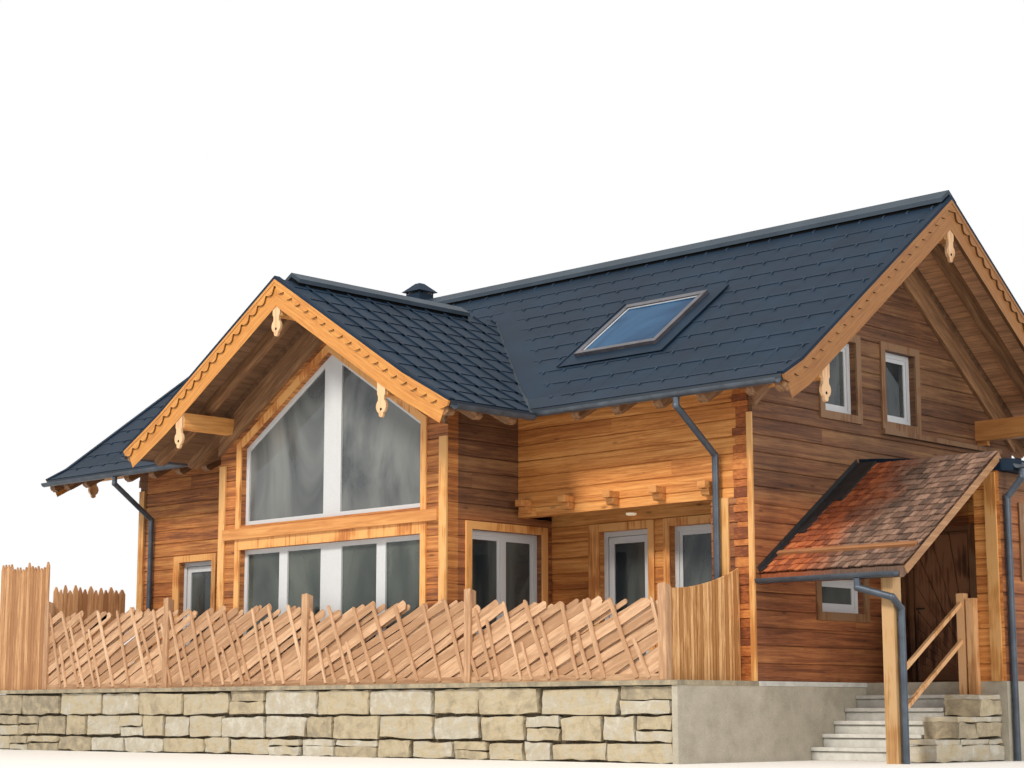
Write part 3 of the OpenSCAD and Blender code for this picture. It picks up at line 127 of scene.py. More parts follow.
def lamp(name, place, aim, size, power, colour):
    d = bpy.data.lights.new(name, "AREA")
    d.shape, d.size, d.energy, d.color = "DISK", size, power, srgb(colour)[:3]
    o = bpy.data.objects.new(name, d)
    bpy.context.collection.objects.link(o)
    o.location = place
    o.rotation_euler = (Vector(aim) - Vector(place)).to_track_quat("-Z", "Y").to_euler()


lamp("front_lamp", (5, -31, 27), (-1, 0, 3), 8, 12400, "#fff6ea")
lamp("side_lamp", (34, -8, 10), (2, 0, 3), 14, 2900, "#fff6ee")
lamp("back_lamp", (-18, 30, 16), (0, 0, 3), 14, 4200, "#eef3ff")

## Masonry base
# The base is masonry under a grey-beige scratch plaster, with a thin stone sill under
# the logs; the terrace has a dry-laid front of big split blocks with flat cap stones.


def mesh_piece(name, bm, mat, body="house", slot=None, replaces=(), bevel=None):
    """Turns a bmesh into a finished piece that rides on a body; bevel is a width and a count."""
    me = bpy.data.meshes.new(name)
    bm.normal_update()
    bm.to_mesh(me)
    bm.free()
    o = bpy.data.objects.new(name, me)
    bpy.context.collection.objects.link(o)
    me.materials.append(mat)
    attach(o, body)
    if replaces:
        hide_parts(*replaces)
    if bevel:
        edge = o.modifiers.new("eased_edge", "BEVEL")
        edge.width, edge.segments = bevel


def finish(mat, *names):
    """Puts a material on the CAD's own nodes."""
    for name in names:
        nodes[name].data.materials.clear()
        nodes[name].data.materials.append(mat)


def box(bm, lo, hi):
    v = [bm.verts.new((x, y, z)) for x in (lo[0], hi[0]) for y in (lo[1], hi[1]) for z in (lo[2], hi[2])]
    for f in ((0, 1, 3, 2), (4, 6, 7, 5), (0, 4, 5, 1), (2, 3, 7, 6), (0, 2, 6, 4), (1, 5, 7, 3)):
        bm.faces.new([v[i] for i in f])
    return v


def pour(part, bm):
    """Adds a bmesh to another and frees it."""
    me = bpy.data.meshes.new("part")
    part.to_mesh(me)
    part.free()
    bm.from_mesh(me)
    bpy.data.meshes.remove(me)


def shade(bm, start, value, name):
    """Gives the faces added since start one shade of their own."""
    layer = bm.loops.layers.float_color.get(name) or bm.loops.layers.float_color.new(name)
    bm.faces.ensure_lookup_table()
    for f in bm.faces[start:]:
        for loop in f.loops:
            loop[layer] = (value, value, value, 1)


def pieces(a, end, w0, w1, least, rnd):
    """Splits a run into random widths, the last of them no less than the least."""
    while a < end - 0.01:
        w = min(rnd.uniform(w0, w1), end - a)
        if end - a - w < least:
            w = end - a
        yield a, w
        a += w


def ramp(t, source, *stops):
    """A colour ramp over a value: stops are (position, sRGB hex) from low to high."""
    colour = add(t, "ShaderNodeValToRGB", {0: source})
    points = colour.node.color_ramp.elements
    for place, stop in zip((0, 1), (stops[0], stops[-1])):
        points[place].position, points[place].color = stop[0], srgb(stop[1])
    for where, hexcode in stops[1:-1]:
        points.new(where).color = srgb(hexcode)
    return colour


def fitted(t, source, a, b, c, d):
    """A value's range a..b mapped to c..d."""
    return add(t, "ShaderNodeMapRange", {0: source, 1: a, 2: b, 3: c, 4: d})


def cloud(t, co, scale, detail=2.0, roughness=0.5, distortion=0.0):
    return add(t, "ShaderNodeTexNoise", {"Vector": co}, Scale=scale, Detail=detail, Roughness=roughness,
               Distortion=distortion)


def attribute(t, name):
    return add(t, "ShaderNodeAttribute", out="Fac", attribute_name=name)


def scaled(t, vector, factor):
    return add(t, "ShaderNodeVectorMath", {0: vector, "Scale": factor}, operation="SCALE")


def mottled(name, tones, patches, roughness, grit=None, bump=None, **more):
    """A material in soft patches; patches and grit are a noise's scale, detail and roughness."""
    m, t, co = begin(name)
    soft = cloud(t, co, *patches)
    fine = cloud(t, co, *grit) if grit else soft
    surface(t, ramp(t, soft, *tones), roughness, *((fine, *bump) if bump else ()), **more)
    return m


# Scratch plaster: grey-beige, rain-mottled in patches of some 30 cm, coarse grit
plaster, t, co = begin("scratch_plaster")
tone = ramp(t, cloud(t, co, 3.2, 6, 0.65), (0.3, "#a49d8c"), (0.7, "#c0b9a9"))
grit = cloud(t, co, 55, 3, 0.7)
surface(t, scaled(t, tone, fitted(t, grit, 0.3, 0.5, 0.8, 1.0)), 0.92, grit, 0.5, 0.006)
finish(plaster, "plinth", "annex_base")

# Split gneiss: yellow-beige to light grey blocks, each with its own shade, split faces
gneiss, t, co = begin("split_gneiss")
veins = calc(t, "ADD", cloud(t, co, 5, 8, 0.7, 0.4), attribute(t, "stone_shade"))
tone = ramp(t, veins, (0.4, "#8d8471"), (0.55, "#a99c83"), (0.68, "#bdaf91"), (0.8, "#bab3a2"),
            (0.95, "#cdc8ba"))
surface(t, tone, 0.88, cloud(t, co, 14, 9, 0.72), 0.7, 0.03)


def stone(bm, lo, hi, rnd, rough=0.02, value=None):
    """A split block: its edges run out of square, its corners are worn, its faces broken."""
    part = bmesh.new()
    for v in box(part, lo, hi):
        for k in (0, 2):
            run_out = 0.032 if v.co[k] < (lo[k] + hi[k]) / 2 else -0.032
            v.co[k] += run_out * rnd.random() * min(1, (hi[k] - lo[k]) / 0.3)
    bmesh.ops.subdivide_edges(part, edges=part.edges[:], cuts=5, use_grid_fill=True)
    bmesh.ops.smooth_vert(part, verts=part.verts, factor=0.24, use_axis_x=True, use_axis_y=True,
                          use_axis_z=True)
    seed = Vector((rnd.random() * 50, rnd.random() * 50, rnd.random() * 50))
    for v in part.verts:
        coarse, fine = (noise.noise_vector(v.co * scale + seed) for scale in (5, 16))
        v.co += coarse * rough * 1.4 + fine * rough * 0.5
        for k in range(3):
            v.co[k] = min(max(v.co[k], lo[k]), hi[k])
    value = rnd.random() * 0.34 if value is None else value
    start = len(bm.faces)
    pour(part, bm)
    shade(bm, start, value, "stone_shade")


# Three courses: the heights of their beds, then the least and the greatest length of a block
bm = bmesh.new()
lo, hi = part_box("stone_wall")
noise.seed_set(7)   # else the broken faces differ from run to run
rnd = random.Random(14)
JOINT, SPLIT_SHARE = 0.008, 0.2
FIRST_BED, SECOND_BED = lo[2] + 0.25, lo[2] + 0.58
for z0, z1, w0, w1 in ((lo[2], FIRST_BED, 0.5, 1.1), (FIRST_BED, SECOND_BED, 0.5, 1.1),
                       (SECOND_BED, hi[2], 0.8, 1.35)):
    for x, w in pieces(lo[0], hi[0], w0, w1, 0.4, rnd):
        beds = [z0, z1 - rnd.uniform(0, 0.015)]
        if rnd.random() < SPLIT_SHARE and w < 1.0:
            beds.insert(1, z0 + (z1 - z0) * rnd.uniform(0.42, 0.6))
        for a, b in zip(beds, beds[1:]):
            stone(bm, (x, lo[1] + rnd.uniform(0, 0.03), a), (x + w - JOINT, hi[1], b), rnd)
mesh_piece("terrace_blocks", bm, gneiss, slot="natural_stone", replaces=("stone_wall",))

# The rubble behind the blocks, painted dark as the shade deep in the joints
rubble = mottled("dark_joint_rubble", ((0.35, "#40382c"), (0.65, "#665b49")), (25, 5), 0.95)
bm = bmesh.new()
box(bm, (lo[0] + 0.05, lo[1] + 0.1, lo[2]), (hi[0] - 0.05, hi[1], hi[2] - 0.01))
mesh_piece("wall_core", bm, rubble, slot="natural_stone")
finish(gneiss, "terrace_slab")

# The stairs' cheek wall climbs in three steps, each under flat cap stones 70 mm thick
bm = bmesh.new()
lo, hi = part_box("stair_cheek")
rnd = random.Random(5)
CHEEK_STEPS, CAP_T, CHEEK_JOINT = 3, 0.07, 0.004
rise, run = ((hi[k] - lo[k]) / CHEEK_STEPS for k in (2, 1))
for i in range(CHEEK_STEPS):
    z0, z1 = lo[2] + i * rise, lo[2] + (i + 1) * rise
    for y, w in pieces(lo[1] + i * run, hi[1], 0.4, 0.7, 0.25, rnd):
        stone(bm, (lo[0], y, z0), (hi[0], y + w - CHEEK_JOINT, z1 - CAP_T + 0.01), rnd, 0.02)
        stone(bm, (lo[0], y, z1 - CAP_T), (hi[0], y + w - CHEEK_JOINT, z1), rnd, 0.01, 0.3)
mesh_piece("cheek_blocks", bm, gneiss, slot="natural_stone", replaces=("stair_cheek",))

## Entrance stairs
# Sawn light stone treads laid on a masonry core, each with a small nosing and the
# joint below it in shadow.
FLOOR_Z = 1.0
RISERS, TREAD, TREAD_T, NOSING, NOSING_GAP, SIDE_GAP = 6, 0.264, 0.05, 0.03, 0.006, 0.001

# Sawn limestone: pale warm grey, finely pitted
limestone = mottled("sawn_limestone", ((0.3, "#bab9b1"), (0.65, "#d7d6d0")), (6, 6, 0.65), 0.8, (70, 4),
                    (0.35, 0.004))
bm = bmesh.new()
lo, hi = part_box("stairs")
rise = (hi[2] + FLOOR_Z / RISERS - lo[2]) / RISERS
for i in range(1, RISERS):
    z = FLOOR_Z - i * rise
    back = hi[1] - (i - 1) * TREAD
    for front, z0, z1 in ((back - TREAD, z - TREAD_T, z),
                          (back - TREAD + NOSING, lo[2], z - TREAD_T - NOSING_GAP)):
        box(bm, (lo[0] + SIDE_GAP, front, z0), (hi[0] - SIDE_GAP, back, z1))
mesh_piece("stair_treads", bm, limestone, slot="stair_stone", replaces=("stairs",), bevel=(0.008, 2))

## Log walls
# Squared spruce logs 225 mm high, oiled and turned red-brown by the sun, laid dry with a groove between
# courses; the grain runs along each wall. The side walls are darker, partly by rain weathering and partly by
# painted shade, with a cool painted shade higher up; a lighter copy paints sunlight on the loggia, the recess
# and the annex's front.
LOG_H, LOG_L, COURSE_SHIFT = 0.225, 9.5, 0.37
# The painted shade of the upper walls sets in between these heights
UPPER_SHADE_Z = (3.2, 3.5)
EAST_X, FRONT_Y = 6.675, -3.25
# East of this line lies the gable side, where trims get painted shade and the door frame is dark
EAST_SIDE = 6.6
# Pieces laid on a face stand this far off it
SEAT = 0.0005


def axes(t, vector):
    """The x, y and z of a vector."""
    return add(t, "ShaderNodeSeparateXYZ", {0: vector}).node.outputs


def stretched(t, co, scale):
    return add(t, "ShaderNodeMapping", {0: co}, vector_type="POINT", Scale=scale)


def tinted(t, colour, tint, share):
    """A colour multiplied by a tint, as far as the share says."""
    return add(t, "ShaderNodeMix", {0: share, 6: colour, 7: srgb(tint)}, 2, data_type="RGBA",
               blend_type="MULTIPLY")


def log_material(name, dark, middle, light, weather=0.25, above=None):
    """Oiled log: grain along the wall, a shade for each 225 mm course, rain-dark clouds and knots.

    above is a tint of painted shade that multiplies what lies higher than the ground floor's ceiling."""
    m, t, plain = begin(name)
    x, y, z = axes(t, plain)
    # A face that looks east or west shows logs that run along y: there x and y change places
    facing = axes(t, add(t, "ShaderNodeNewGeometry", out="True Normal"))
    sideways = calc(t, "ROUND", calc(t, "ABSOLUTE", facing[0]))
    swapped = add(t, "ShaderNodeCombineXYZ", {0: y, 1: x, 2: z})
    co = add(t, "ShaderNodeMix", {0: sideways, 4: plain, 5: swapped}, 1, data_type="VECTOR")
    x, y, z = axes(t, co)
    course = calc(t, "DIVIDE", calc(t, "SUBTRACT", z, FLOOR_Z), LOG_H)
    number = calc(t, "FLOOR", course)
    length = calc(t, "ADD", calc(t, "DIVIDE", x, LOG_L), calc(t, "MULTIPLY", number, COURSE_SHIFT))
    cell = add(t, "ShaderNodeCombineXYZ", {0: number, 1: calc(t, "FLOOR", length)})
    each = add(t, "ShaderNodeTexWhiteNoise", {0: cell}, noise_dimensions="3D").node.outputs
    offset = add(t, "ShaderNodeVectorMath", {0: stretched(t, co, (0.3, 6, 8)), 1: each["Color"]},
                 operation="ADD")
    grain = cloud(t, offset, 2.2, 8, 0.68, 0.8)
    fine = cloud(t, stretched(t, co, (1.5, 30, 40)), 3.0, 6, 0.75)
    knots = add(t, "ShaderNodeTexVoronoi", {"Vector": stretched(t, co, (0.9, 3, 3))}, "Distance", Scale=1.7,
                Randomness=1.0)
    knot = fitted(t, knots, 0.03, 0.13, 0.4, 1.0)
    rain = fitted(t, cloud(t, co, 0.8, 4, 0.6), 0.38, 0.62, 1.0 - weather, 1.0)
    # Between two courses the dry joint stays dark over some 16 mm
    joint = fitted(t, calc(t, "PINGPONG", course, 0.5), 0.0, 0.035, 0.55, 1.0)
    total = calc(t, "ADD", calc(t, "MULTIPLY", grain, 0.85), calc(t, "MULTIPLY", each["Value"], 0.16))
    total = calc(t, "ADD", total, calc(t, "MULTIPLY", fine, 0.4))
    colour = ramp(t, total, (0.56, dark), (0.7, middle), (0.86, light))
    # The upper walls take a cool tint of painted shade
    if above:
        colour = tinted(t, colour, above, fitted(t, z, *UPPER_SHADE_Z, 0.0, 1.0))
    dim = calc(t, "MULTIPLY", calc(t, "MULTIPLY", knot, rain), joint)
    surface(t, scaled(t, colour, dim), 0.66, fine, 0.45, 0.006)
    return m


def second_finish(name, mat, test):
    """Gives the faces of a CAD node that pass the test a second material."""
    me = nodes[name].data
    me.materials.append(mat)
    for p in me.polygons:
        if test(p):
            p.material_index = len(me.materials) - 1


log_front = log_material("oiled_log_front", "#754220", "#b87038", "#dd9c55", 0.3)
# A lighter copy of the logs painted as in sunlight, for the loggia band, the annex front and the recess walls
log_painted_sun = log_material("sun_warm_log", "#a15c27", "#cc8440", "#e8a961", 0.12)
# A darker copy for the side walls: partly rain weathering, partly painted shade
log_side_shaded = log_material("oiled_log_side", "#6b3a1e", "#985a34", "#bd7e4a", 0.35, "#cee7ff")
finish(log_front, "front_wall_west", "front_wall_middle", "front_wall_west_head", "wing_front_wall",
       "rear_wall", "annex_front_head")
finish(log_painted_sun, "front_wall_upper", "annex_front_wall", "recess_wall_west", "recess_wall_east",
       "recess_wall_head")
finish(log_side_shaded, "east_wall", "west_wall", "wing_east_wall", "wing_west_wall", "annex_side_walls",
       "corner_wall")
# The south faces of the annex side walls take the painted sunlight too
second_finish("annex_side_walls", log_painted_sun, lambda p: p.normal.y < -0.5)

# Log ends at the south-east corner: the crossing logs stand out course by course, cut
# to two lengths in turn, between the two light corner boards
end_grain, t, co = begin("log_end_grain")
rings = cloud(t, stretched(t, co, (3, 3, 9)), 3.5, 6, 0.7)
tone = ramp(t, calc(t, "ADD", rings, attribute(t, "log_shade")), (0.42, "#713819"), (0.66, "#a85f2a"),
            (0.95, "#d28c49"))
surface(t, tone, 0.7, rings, 0.5, 0.008)
ENDS, ENDS_X, ENDS_TOP, END_GAP = 17, (6.36, 6.61), 4.68, 0.004
bm = bmesh.new()
rnd = random.Random(31)
for i in range(ENDS):
    z0 = FLOOR_Z + LOG_H * i
    split = z0 + rnd.uniform(0.07, 0.15)
    for k, (a, b) in enumerate(((z0, split), (split + END_GAP, z0 + LOG_H - END_GAP))):
        start = len(bm.faces)
        out = 0.012 if (i + k) % 2 else 0.028
        left = ENDS_X[0] + rnd.choice((0, 0, 0.05))
        box(bm, (left, FRONT_Y - out, a), (ENDS_X[1], FRONT_Y - 0.0004, min(b, ENDS_TOP)))
        shade(bm, start, rnd.uniform(-0.1, 0.3), "log_shade")
mesh_piece("corner_log_ends", bm, end_grain, slot="log_wood", bevel=(0.005, 1))

## Floors
# The ground floor is a stone slab whose edge shows as a thin sill under the logs; the upper one is boarded
# spruce, seen from below as the loggia's ceiling, painted dark as the shade under it, with its lamp.
finish(limestone, "ground_floor")
# The boards' dark brown is painted shade
shaded_ceiling_boards = log_material("stained_ceiling_board", "#4b3423", "#664933", "#805f45")
finish(shaded_ceiling_boards, "upper_floor")

# Ceiling lamp of the loggia: an opal disc under a thin ring 160 mm wide; its cover glows faintly as painted
# light, so that it stays white under the shaded ceiling
LAMP_X, LAMP_Y, CEILING_Z = 4.08, -2.63, 3.35
opal, t, co = begin("opal_lamp_cover")
tone = ramp(t, cloud(t, co, 30), (0.0, "#eedcbc"), (1.0, "#f6e8cf"))
surface(t, tone, 0.35, Emission_Color=tone, Emission_Strength=0.35)


def pin(bm, radius, depth, place, turn=Matrix(), foot=1.0, sides=20):
    """A round piece about a point, upright unless turned; foot narrows its lower end."""
    bmesh.ops.create_cone(bm, segments=sides, radius1=radius * foot, radius2=radius, depth=depth,
                          cap_ends=True, matrix=Matrix.Translation(place) @ turn)


bm = bmesh.new()
for radius, z0, z1 in ((0.08, -0.012, -0.001), (0.072, -0.03, -0.0122)):
    pin(bm, radius, z1 - z0, (LAMP_X, LAMP_Y, CEILING_Z + (z0 + z1) / 2), foot=0.93, sides=32)
mesh_piece("loggia_lamp", bm, opal, slot="white_frame")

## Planed trim
# Corner boards, corbels, beams, trims and posts are planed spruce under a clear oil,
# much lighter than the logs.


def upright_material(name, dark, middle, light, shaded_by=None):
    """Planed board with its grain upright; the last argument tints it with painted shade on the east side."""
    m, t, co = begin(name)
    grain = cloud(t, stretched(t, co, (9, 9, 0.55)), 2.4, 7, 0.6, 0.4)
    colour = ramp(t, calc(t, "ADD", grain, cloud(t, co, 1.7)), (0.78, dark), (0.9, middle), (1.0, light))
    if shaded_by:
        # Where the painted shade of the east side sets in
        east = fitted(t, axes(t, co)[0], EAST_SIDE, EAST_SIDE + 0.01, 0.0, 1.0)
        colour = tinted(t, colour, shaded_by, east)
    surface(t, colour, 0.58, grain, 0.3, 0.004)
    return m


def lying_material(name, along, dark, middle, light):
    """Planed board or beam with its grain lying along x or y, unbroken from end to end."""
    m, t, co = begin(name)
    grain = cloud(t, stretched(t, co, (0.5, 8, 9) if along == "X" else (8, 0.5, 9)), 2.4, 8, 0.66, 0.5)
    surface(t, ramp(t, grain, (0.3, dark), (0.5, middle), (0.7, light)), 0.6, grain, 0.3, 0.004)
    return m


spruce_x = lying_material("planed_spruce_along_x", "X", "#b0713a", "#c7884a", "#d9a061")
spruce_up = upright_material("planed_spruce_upright", "#b57a3f", "#c99050", "#d9a76a")
pale_up = upright_material("limewashed_spruce", "#bd8c60", "#cfa277", "#ddb68c")
greyed_y = lying_material("greyed_spruce_along_y", "Y", "#8a6242", "#a87d56", "#c09870")
# The trims and the east casing are dulled with painted shade on the east side
trim_up = upright_material("oiled_window_trim", "#b06c33", "#cf8c49", "#e0a664", "#989ebe")
rail_up = upright_material("peeled_spruce_rail", "#b4804f", "#cd9a66", "#dfb180")
post_up = upright_material("golden_spruce_post", "#9e6f40", "#ad8451", "#bc986b")
gold_y = lying_material("golden_spruce_along_y", "Y", "#bd7f44", "#d59753", "#e5b06c")
# The snow beam's grey is painted shade
shade_grey_x = lying_material("greyed_spruce_along_x", "X", "#7d5334", "#9c6b44", "#b58560")
for mat, name in ((spruce_up, "corner_boards"), (post_up, "porch_post"), (rail_up, "stair_railing"),
                  (trim_up, "window_trims"), (trim_up, "wall_trims"), (pale_up, "pendants"),
                  (spruce_x, "beams"), (shade_grey_x, "snow_beam"), (gold_y, "purlins")):
    finish(mat, name)
# The beams' node also holds the casing of the east side, lower than the purlins
PURLIN_FOOT_Z = 4.52
second_finish("beams", trim_up, lambda p: p.center.x > EAST_SIDE and p.center.z < PURLIN_FOOT_Z)

# A light corner board on the annex beside the entrance, 160 mm wide
bm = bmesh.new()
box(bm, (8.60, -0.878, FLOOR_Z), (8.76, -0.8503, 3.68))
mesh_piece("annex_corner_board", bm, spruce_up, slot="spruce")


def prism(bm, ends):
    """A solid between two like outlines of points."""
    rings = [[bm.verts.new(p) for p in end] for end in ends]
    n = len(rings[0])
    for k in range(n):
        bm.faces.new((rings[0][k], rings[0][(k + 1) % n], rings[1][(k + 1) % n], rings[1][k]))
    bm.faces.new(rings[0][::-1])
    bm.faces.new(rings[1])


def face_out(*bms):
    for bm in bms:
        bmesh.ops.recalc_face_normals(bm, faces=bm.faces)


# Corbels over the loggia: two short beam ends each, the upper one longer, the lower one
# with a round nose
CORBELS, CORBEL_X, CORBEL_STEP, CORBEL_W, NOSE_R = 5, 5.975, 0.82, 0.13, 0.045
SEAT_Y = FRONT_Y - SEAT
nose = [(SEAT_Y, 3.391)] + [(-3.335 - NOSE_R * math.sin(a), 3.436 - NOSE_R * math.cos(a))
                            for a in (math.radians(15 * k) for k in range(7))]
nose += [(-3.38, 3.484), (SEAT_Y, 3.484)]
bm = bmesh.new()
for i in range(CORBELS):
    left, right = (CORBEL_X - CORBEL_STEP * i + side * CORBEL_W / 2 for side in (-1, 1))
    box(bm, (left, -3.458, 3.487), (right, SEAT_Y, 3.579))
    prism(bm, [[(x, y, z) for y, z in nose] for x in (left, right)])
face_out(bm)
mesh_piece("stepped_corbels", bm, spruce_x, slot="spruce", replaces=("corbels",), bevel=(0.006, 2))

## Roof deck and rafters
# Spruce boards on rafters with round noses; boards and rafters are a dull brown under the overhangs, partly
# the wood's own colour and partly painted shade.
WING_X, BEFORE_EAVES, GRAIN_PITCH = -0.045, -4.1, math.radians(-34.5)


def pitched_grain(t, co, length, across):
    """Coordinates stretched up the rakes: the main roof's, or the wing's in front of the main eaves."""
    x, y, z = axes(t, co)
    from_wing = calc(t, "ABSOLUTE", calc(t, "ADD", x, -WING_X))
    on_main = add(t, "ShaderNodeCombineXYZ", {0: x, 1: calc(t, "ABSOLUTE", y), 2: z})
    on_wing = add(t, "ShaderNodeCombineXYZ", {0: y, 1: from_wing, 2: z})
    in_wing = calc(t, "LESS_THAN", y, BEFORE_EAVES)
    which = add(t, "ShaderNodeMix", {0: in_wing, 4: on_main, 5: on_wing}, 1, data_type="VECTOR")
    return add(t, "ShaderNodeMapping", {0: which}, vector_type="TEXTURE", Scale=(across, length, across),
               Rotation=(GRAIN_PITCH, 0, 0))


# Spruce in dull brown, partly its own colour and partly painted shade, grain up the slope
rafter_wood, t, co = begin("weathered_rafter")
grain = cloud(t, pitched_grain(t, co, 1.2, 0.09), 2, 7, 0.65, 0.3)
surface(t, ramp(t, grain, (0.32, "#63462f"), (0.5, "#835f41"), (0.68, "#a07a55")), 0.68, grain, 0.3, 0.004)
finish(rafter_wood, "rafters", "gable_boards")

## Metal roof
# Folded aluminium plates 400 mm wide in rows of 440 mm, hooked into each other and
# coated a matt slate blue; each carries a small snow stopper at its head.
RIDGE_Z, WING_RIDGE_Z, FALL, WING_FALL = 7.68, 6.85, 0.7536, 0.6249
MAIN_RAKE = [(-4.05, 4.7097), (-3.64, 4.937), (0.0, RIDGE_Z)]
WING_RAKE = [(3.65, 4.653), (2.75, 5.1316), (0.0, WING_RIDGE_Z)]
LEFT_END, RIGHT_END, WING_END = -8.395, 7.725, -5.67


def on_rake(rake, s, h):
    """The point s metres up a bent slope from its eave and h square above it."""
    for (a, za), (b, zb) in zip(rake, rake[1:]):
        run = math.hypot(b - a, zb - za)
        if s <= run or (b, zb) == rake[-1]:
            d = ((b - a) / run, (zb - za) / run)
            n = (-d[1], d[0]) if b > a else (d[1], -d[0])
            return a + d[0] * s + n[0] * h, za + d[1] * s + n[1] * h
        s -= run


def rake_length(rake):
    return sum(math.hypot(b[0] - a[0], b[1] - a[1]) for a, b in zip(rake, rake[1:]))


def slope(rake, place):
    """Lays a flat point (along the eave, up the slope, off it) on a bent slope."""
    return lambda v: place(v.x, *on_rake(rake, v.y, v.z))


def rows_tree():
    """Geometry Nodes: one piece repeated in rows and columns, each copy a little off."""
    tree = bpy.data.node_groups.new("pieces_in_rows", "GeometryNodeTree")
    face = tree.interface
    for name, kind in (("Piece", "Object"), ("Finish", "Material"), ("Columns", "Int"), ("Rows", "Int"),
                       ("Column Step", "Float"), ("Row Step", "Float"), ("Bond", "Float"),
                       ("Shift", "Vector"), ("Turn", "Vector"), ("Size", "Vector"), ("Seed", "Int")):
        face.new_socket(name, in_out="INPUT", socket_type="NodeSocket" + kind)
    face.new_socket("Geometry", in_out="OUTPUT", socket_type="NodeSocketGeometry")
    g = add(tree, "NodeGroupInput").node.outputs
    width, height = (calc(tree, "MULTIPLY", calc(tree, "SUBTRACT", g[count], 1), g[step])
                     for count, step in (("Columns", "Column Step"), ("Rows", "Row Step")))
    grid = add(tree, "GeometryNodeMeshGrid", {"Size X": width, "Size Y": height, "Vertices X": g["Columns"],
                                              "Vertices Y": g["Rows"]})
    half_w, half_h = (calc(tree, "MULTIPLY", size, 0.5) for size in (width, height))
    up = calc(tree, "ADD", axes(tree, add(tree, "GeometryNodeInputPosition"))[1], half_h)
    row = calc(tree, "ROUND", calc(tree, "DIVIDE", up, g["Row Step"]))
    bond = calc(tree, "MULTIPLY", calc(tree, "MODULO", row, 2), g["Bond"])
    start = add(tree, "ShaderNodeCombineXYZ", {0: calc(tree, "ADD", half_w, bond), 1: half_h})

    def plus(a, b, operation="ADD"):
        return add(tree, "ShaderNodeVectorMath", {0: a, 1: b}, operation=operation)

    def wander(low, high, draw):
        """A random vector for each copy; each draw has its own seed."""
        seed = calc(tree, "ADD", g["Seed"], draw)
        return add(tree, "FunctionNodeRandomValue", {0: low, 1: high, "Seed": seed}, data_type="FLOAT_VECTOR")

    shift = wander(scaled(tree, g["Shift"], -1), g["Shift"], 0)
    turn = wander(scaled(tree, g["Turn"], -1), g["Turn"], 1)
    size = wander(plus((1, 1, 1), g["Size"], "SUBTRACT"), plus((1, 1, 1), g["Size"]), 2)
    points = add(tree, "GeometryNodeSetPosition", {"Geometry": grid, "Offset": plus(start, shift)})
    what = add(tree, "GeometryNodeObjectInfo", {"Object": g["Piece"]}, "Geometry")
    copies = add(tree, "GeometryNodeInstanceOnPoints", {"Points": points, "Instance": what, "Rotation": turn,
                                                        "Scale": size})
    real = add(tree, "GeometryNodeRealizeInstances", {0: copies})
    coated = add(tree, "GeometryNodeSetMaterial", {"Geometry": real, "Material": g["Finish"]})
    add(tree, "NodeGroupOutput", {0: coated})
    return tree


pieces_in_rows = rows_tree()


def repeat(bm, finish_mat, columns, rows, column_step, row_step, bond=0.0, shift=(0, 0, 0), turn=(0, 0, 0),
           size=(0, 0, 0), seed=1):
    """Runs the tree on one small piece and returns the result as a plain bmesh."""
    me = bpy.data.meshes.new("one_piece")
    bm.to_mesh(me)
    bm.free()
    one = bpy.data.objects.new("one_piece", me)
    host = bpy.data.objects.new("rows", bpy.data.meshes.new("rows"))
    for o in (one, host):
        bpy.context.collection.objects.link(o)
    mod = host.modifiers.new("rows", "NODES")
    mod.node_group = pieces_in_rows
    values = {"Piece": one, "Finish": finish_mat, "Columns": columns, "Rows": rows, "Bond": bond,
              "Column Step": column_step, "Row Step": row_step, "Shift": shift, "Turn": turn, "Size": size,
              "Seed": seed}
    for item in pieces_in_rows.interface.items_tree:
        if item.in_out == "INPUT":
            mod[item.identifier] = values[item.name]
    plain = bpy.data.meshes.new_from_object(host.evaluated_get(bpy.context.evaluated_depsgraph_get()))
    out = bmesh.new()
    out.from_mesh(plain)
    for o in (one, host):
        bpy.data.objects.remove(o)
    bpy.data.meshes.remove(plain)
    return out


def bend_to(verts, place):
    for v in verts:
        v.co = place(v.co)


def cut(bm, *planes):
    """Cuts away what lies on each normal's side of a plane."""
    for point, normal in planes:
        bmesh.ops.bisect_plane(bm, geom=bm.verts[:] + bm.edges[:] + bm.faces[:], plane_co=point,
                               plane_no=normal, clear_outer=True)


def sheet(name, dark, light, roughness, specular=0.5, metallic=0.0, patches=1.6):
    """Coated sheet: two close shades in soft dusty patches and a fine orange-peel surface."""
    return mottled(name, ((0.3, dark), (0.7, light)), (patches, 6, 0.6), roughness, (240, 1), (0.08, 0.001),
                   Specular_IOR_Level=specular, Metallic=metallic)


# Matt coil-coated aluminium in slate blue; caps are rubbed paler by the snow, and the stoppers are painted
# paler as a highlight on their lit tops
slate_metal = sheet("coil_coated_aluminium", "#152332", "#1c2e40", 0.58, 0.14)
rubbed_metal = sheet("rubbed_coated_aluminium", "#2c3742", "#3a4652", 0.5, 0.2)
stopper_highlight_metal = sheet("snow_stopper_aluminium", "#223142", "#2d3d4e", 0.55, 0.16)

# The roof build-up seen from below: grey-brown boards 120 mm wide along the eaves, which is
# 72 mm in height from seam to seam
roof_build_up, t, co = begin("boarded_roof_underside")
facing = axes(t, add(t, "ShaderNodeNewGeometry", out="True Normal"))
x, y, z = axes(t, co)
# Upright edges between eave and ridge are boards too; the fascia and the ridge are sheet
EDGES_MID, EDGES_HALF, SEAM_HALF = 6.1, 1.3, 0.036
limit = fitted(t, calc(t, "COMPARE", z, EDGES_MID, EDGES_HALF), 0.0, 1.0, -0.2, 0.3)
down = calc(t, "LESS_THAN", facing[2], limit)
gap = fitted(t, calc(t, "PINGPONG", z, SEAM_HALF), 0.0, 0.004, 0.35, 1.0)
tone = ramp(t, cloud(t, pitched_grain(t, co, 0.15, 1.0), 2, 5, 0.6), (0.3, "#624733"), (0.7, "#89674b"))
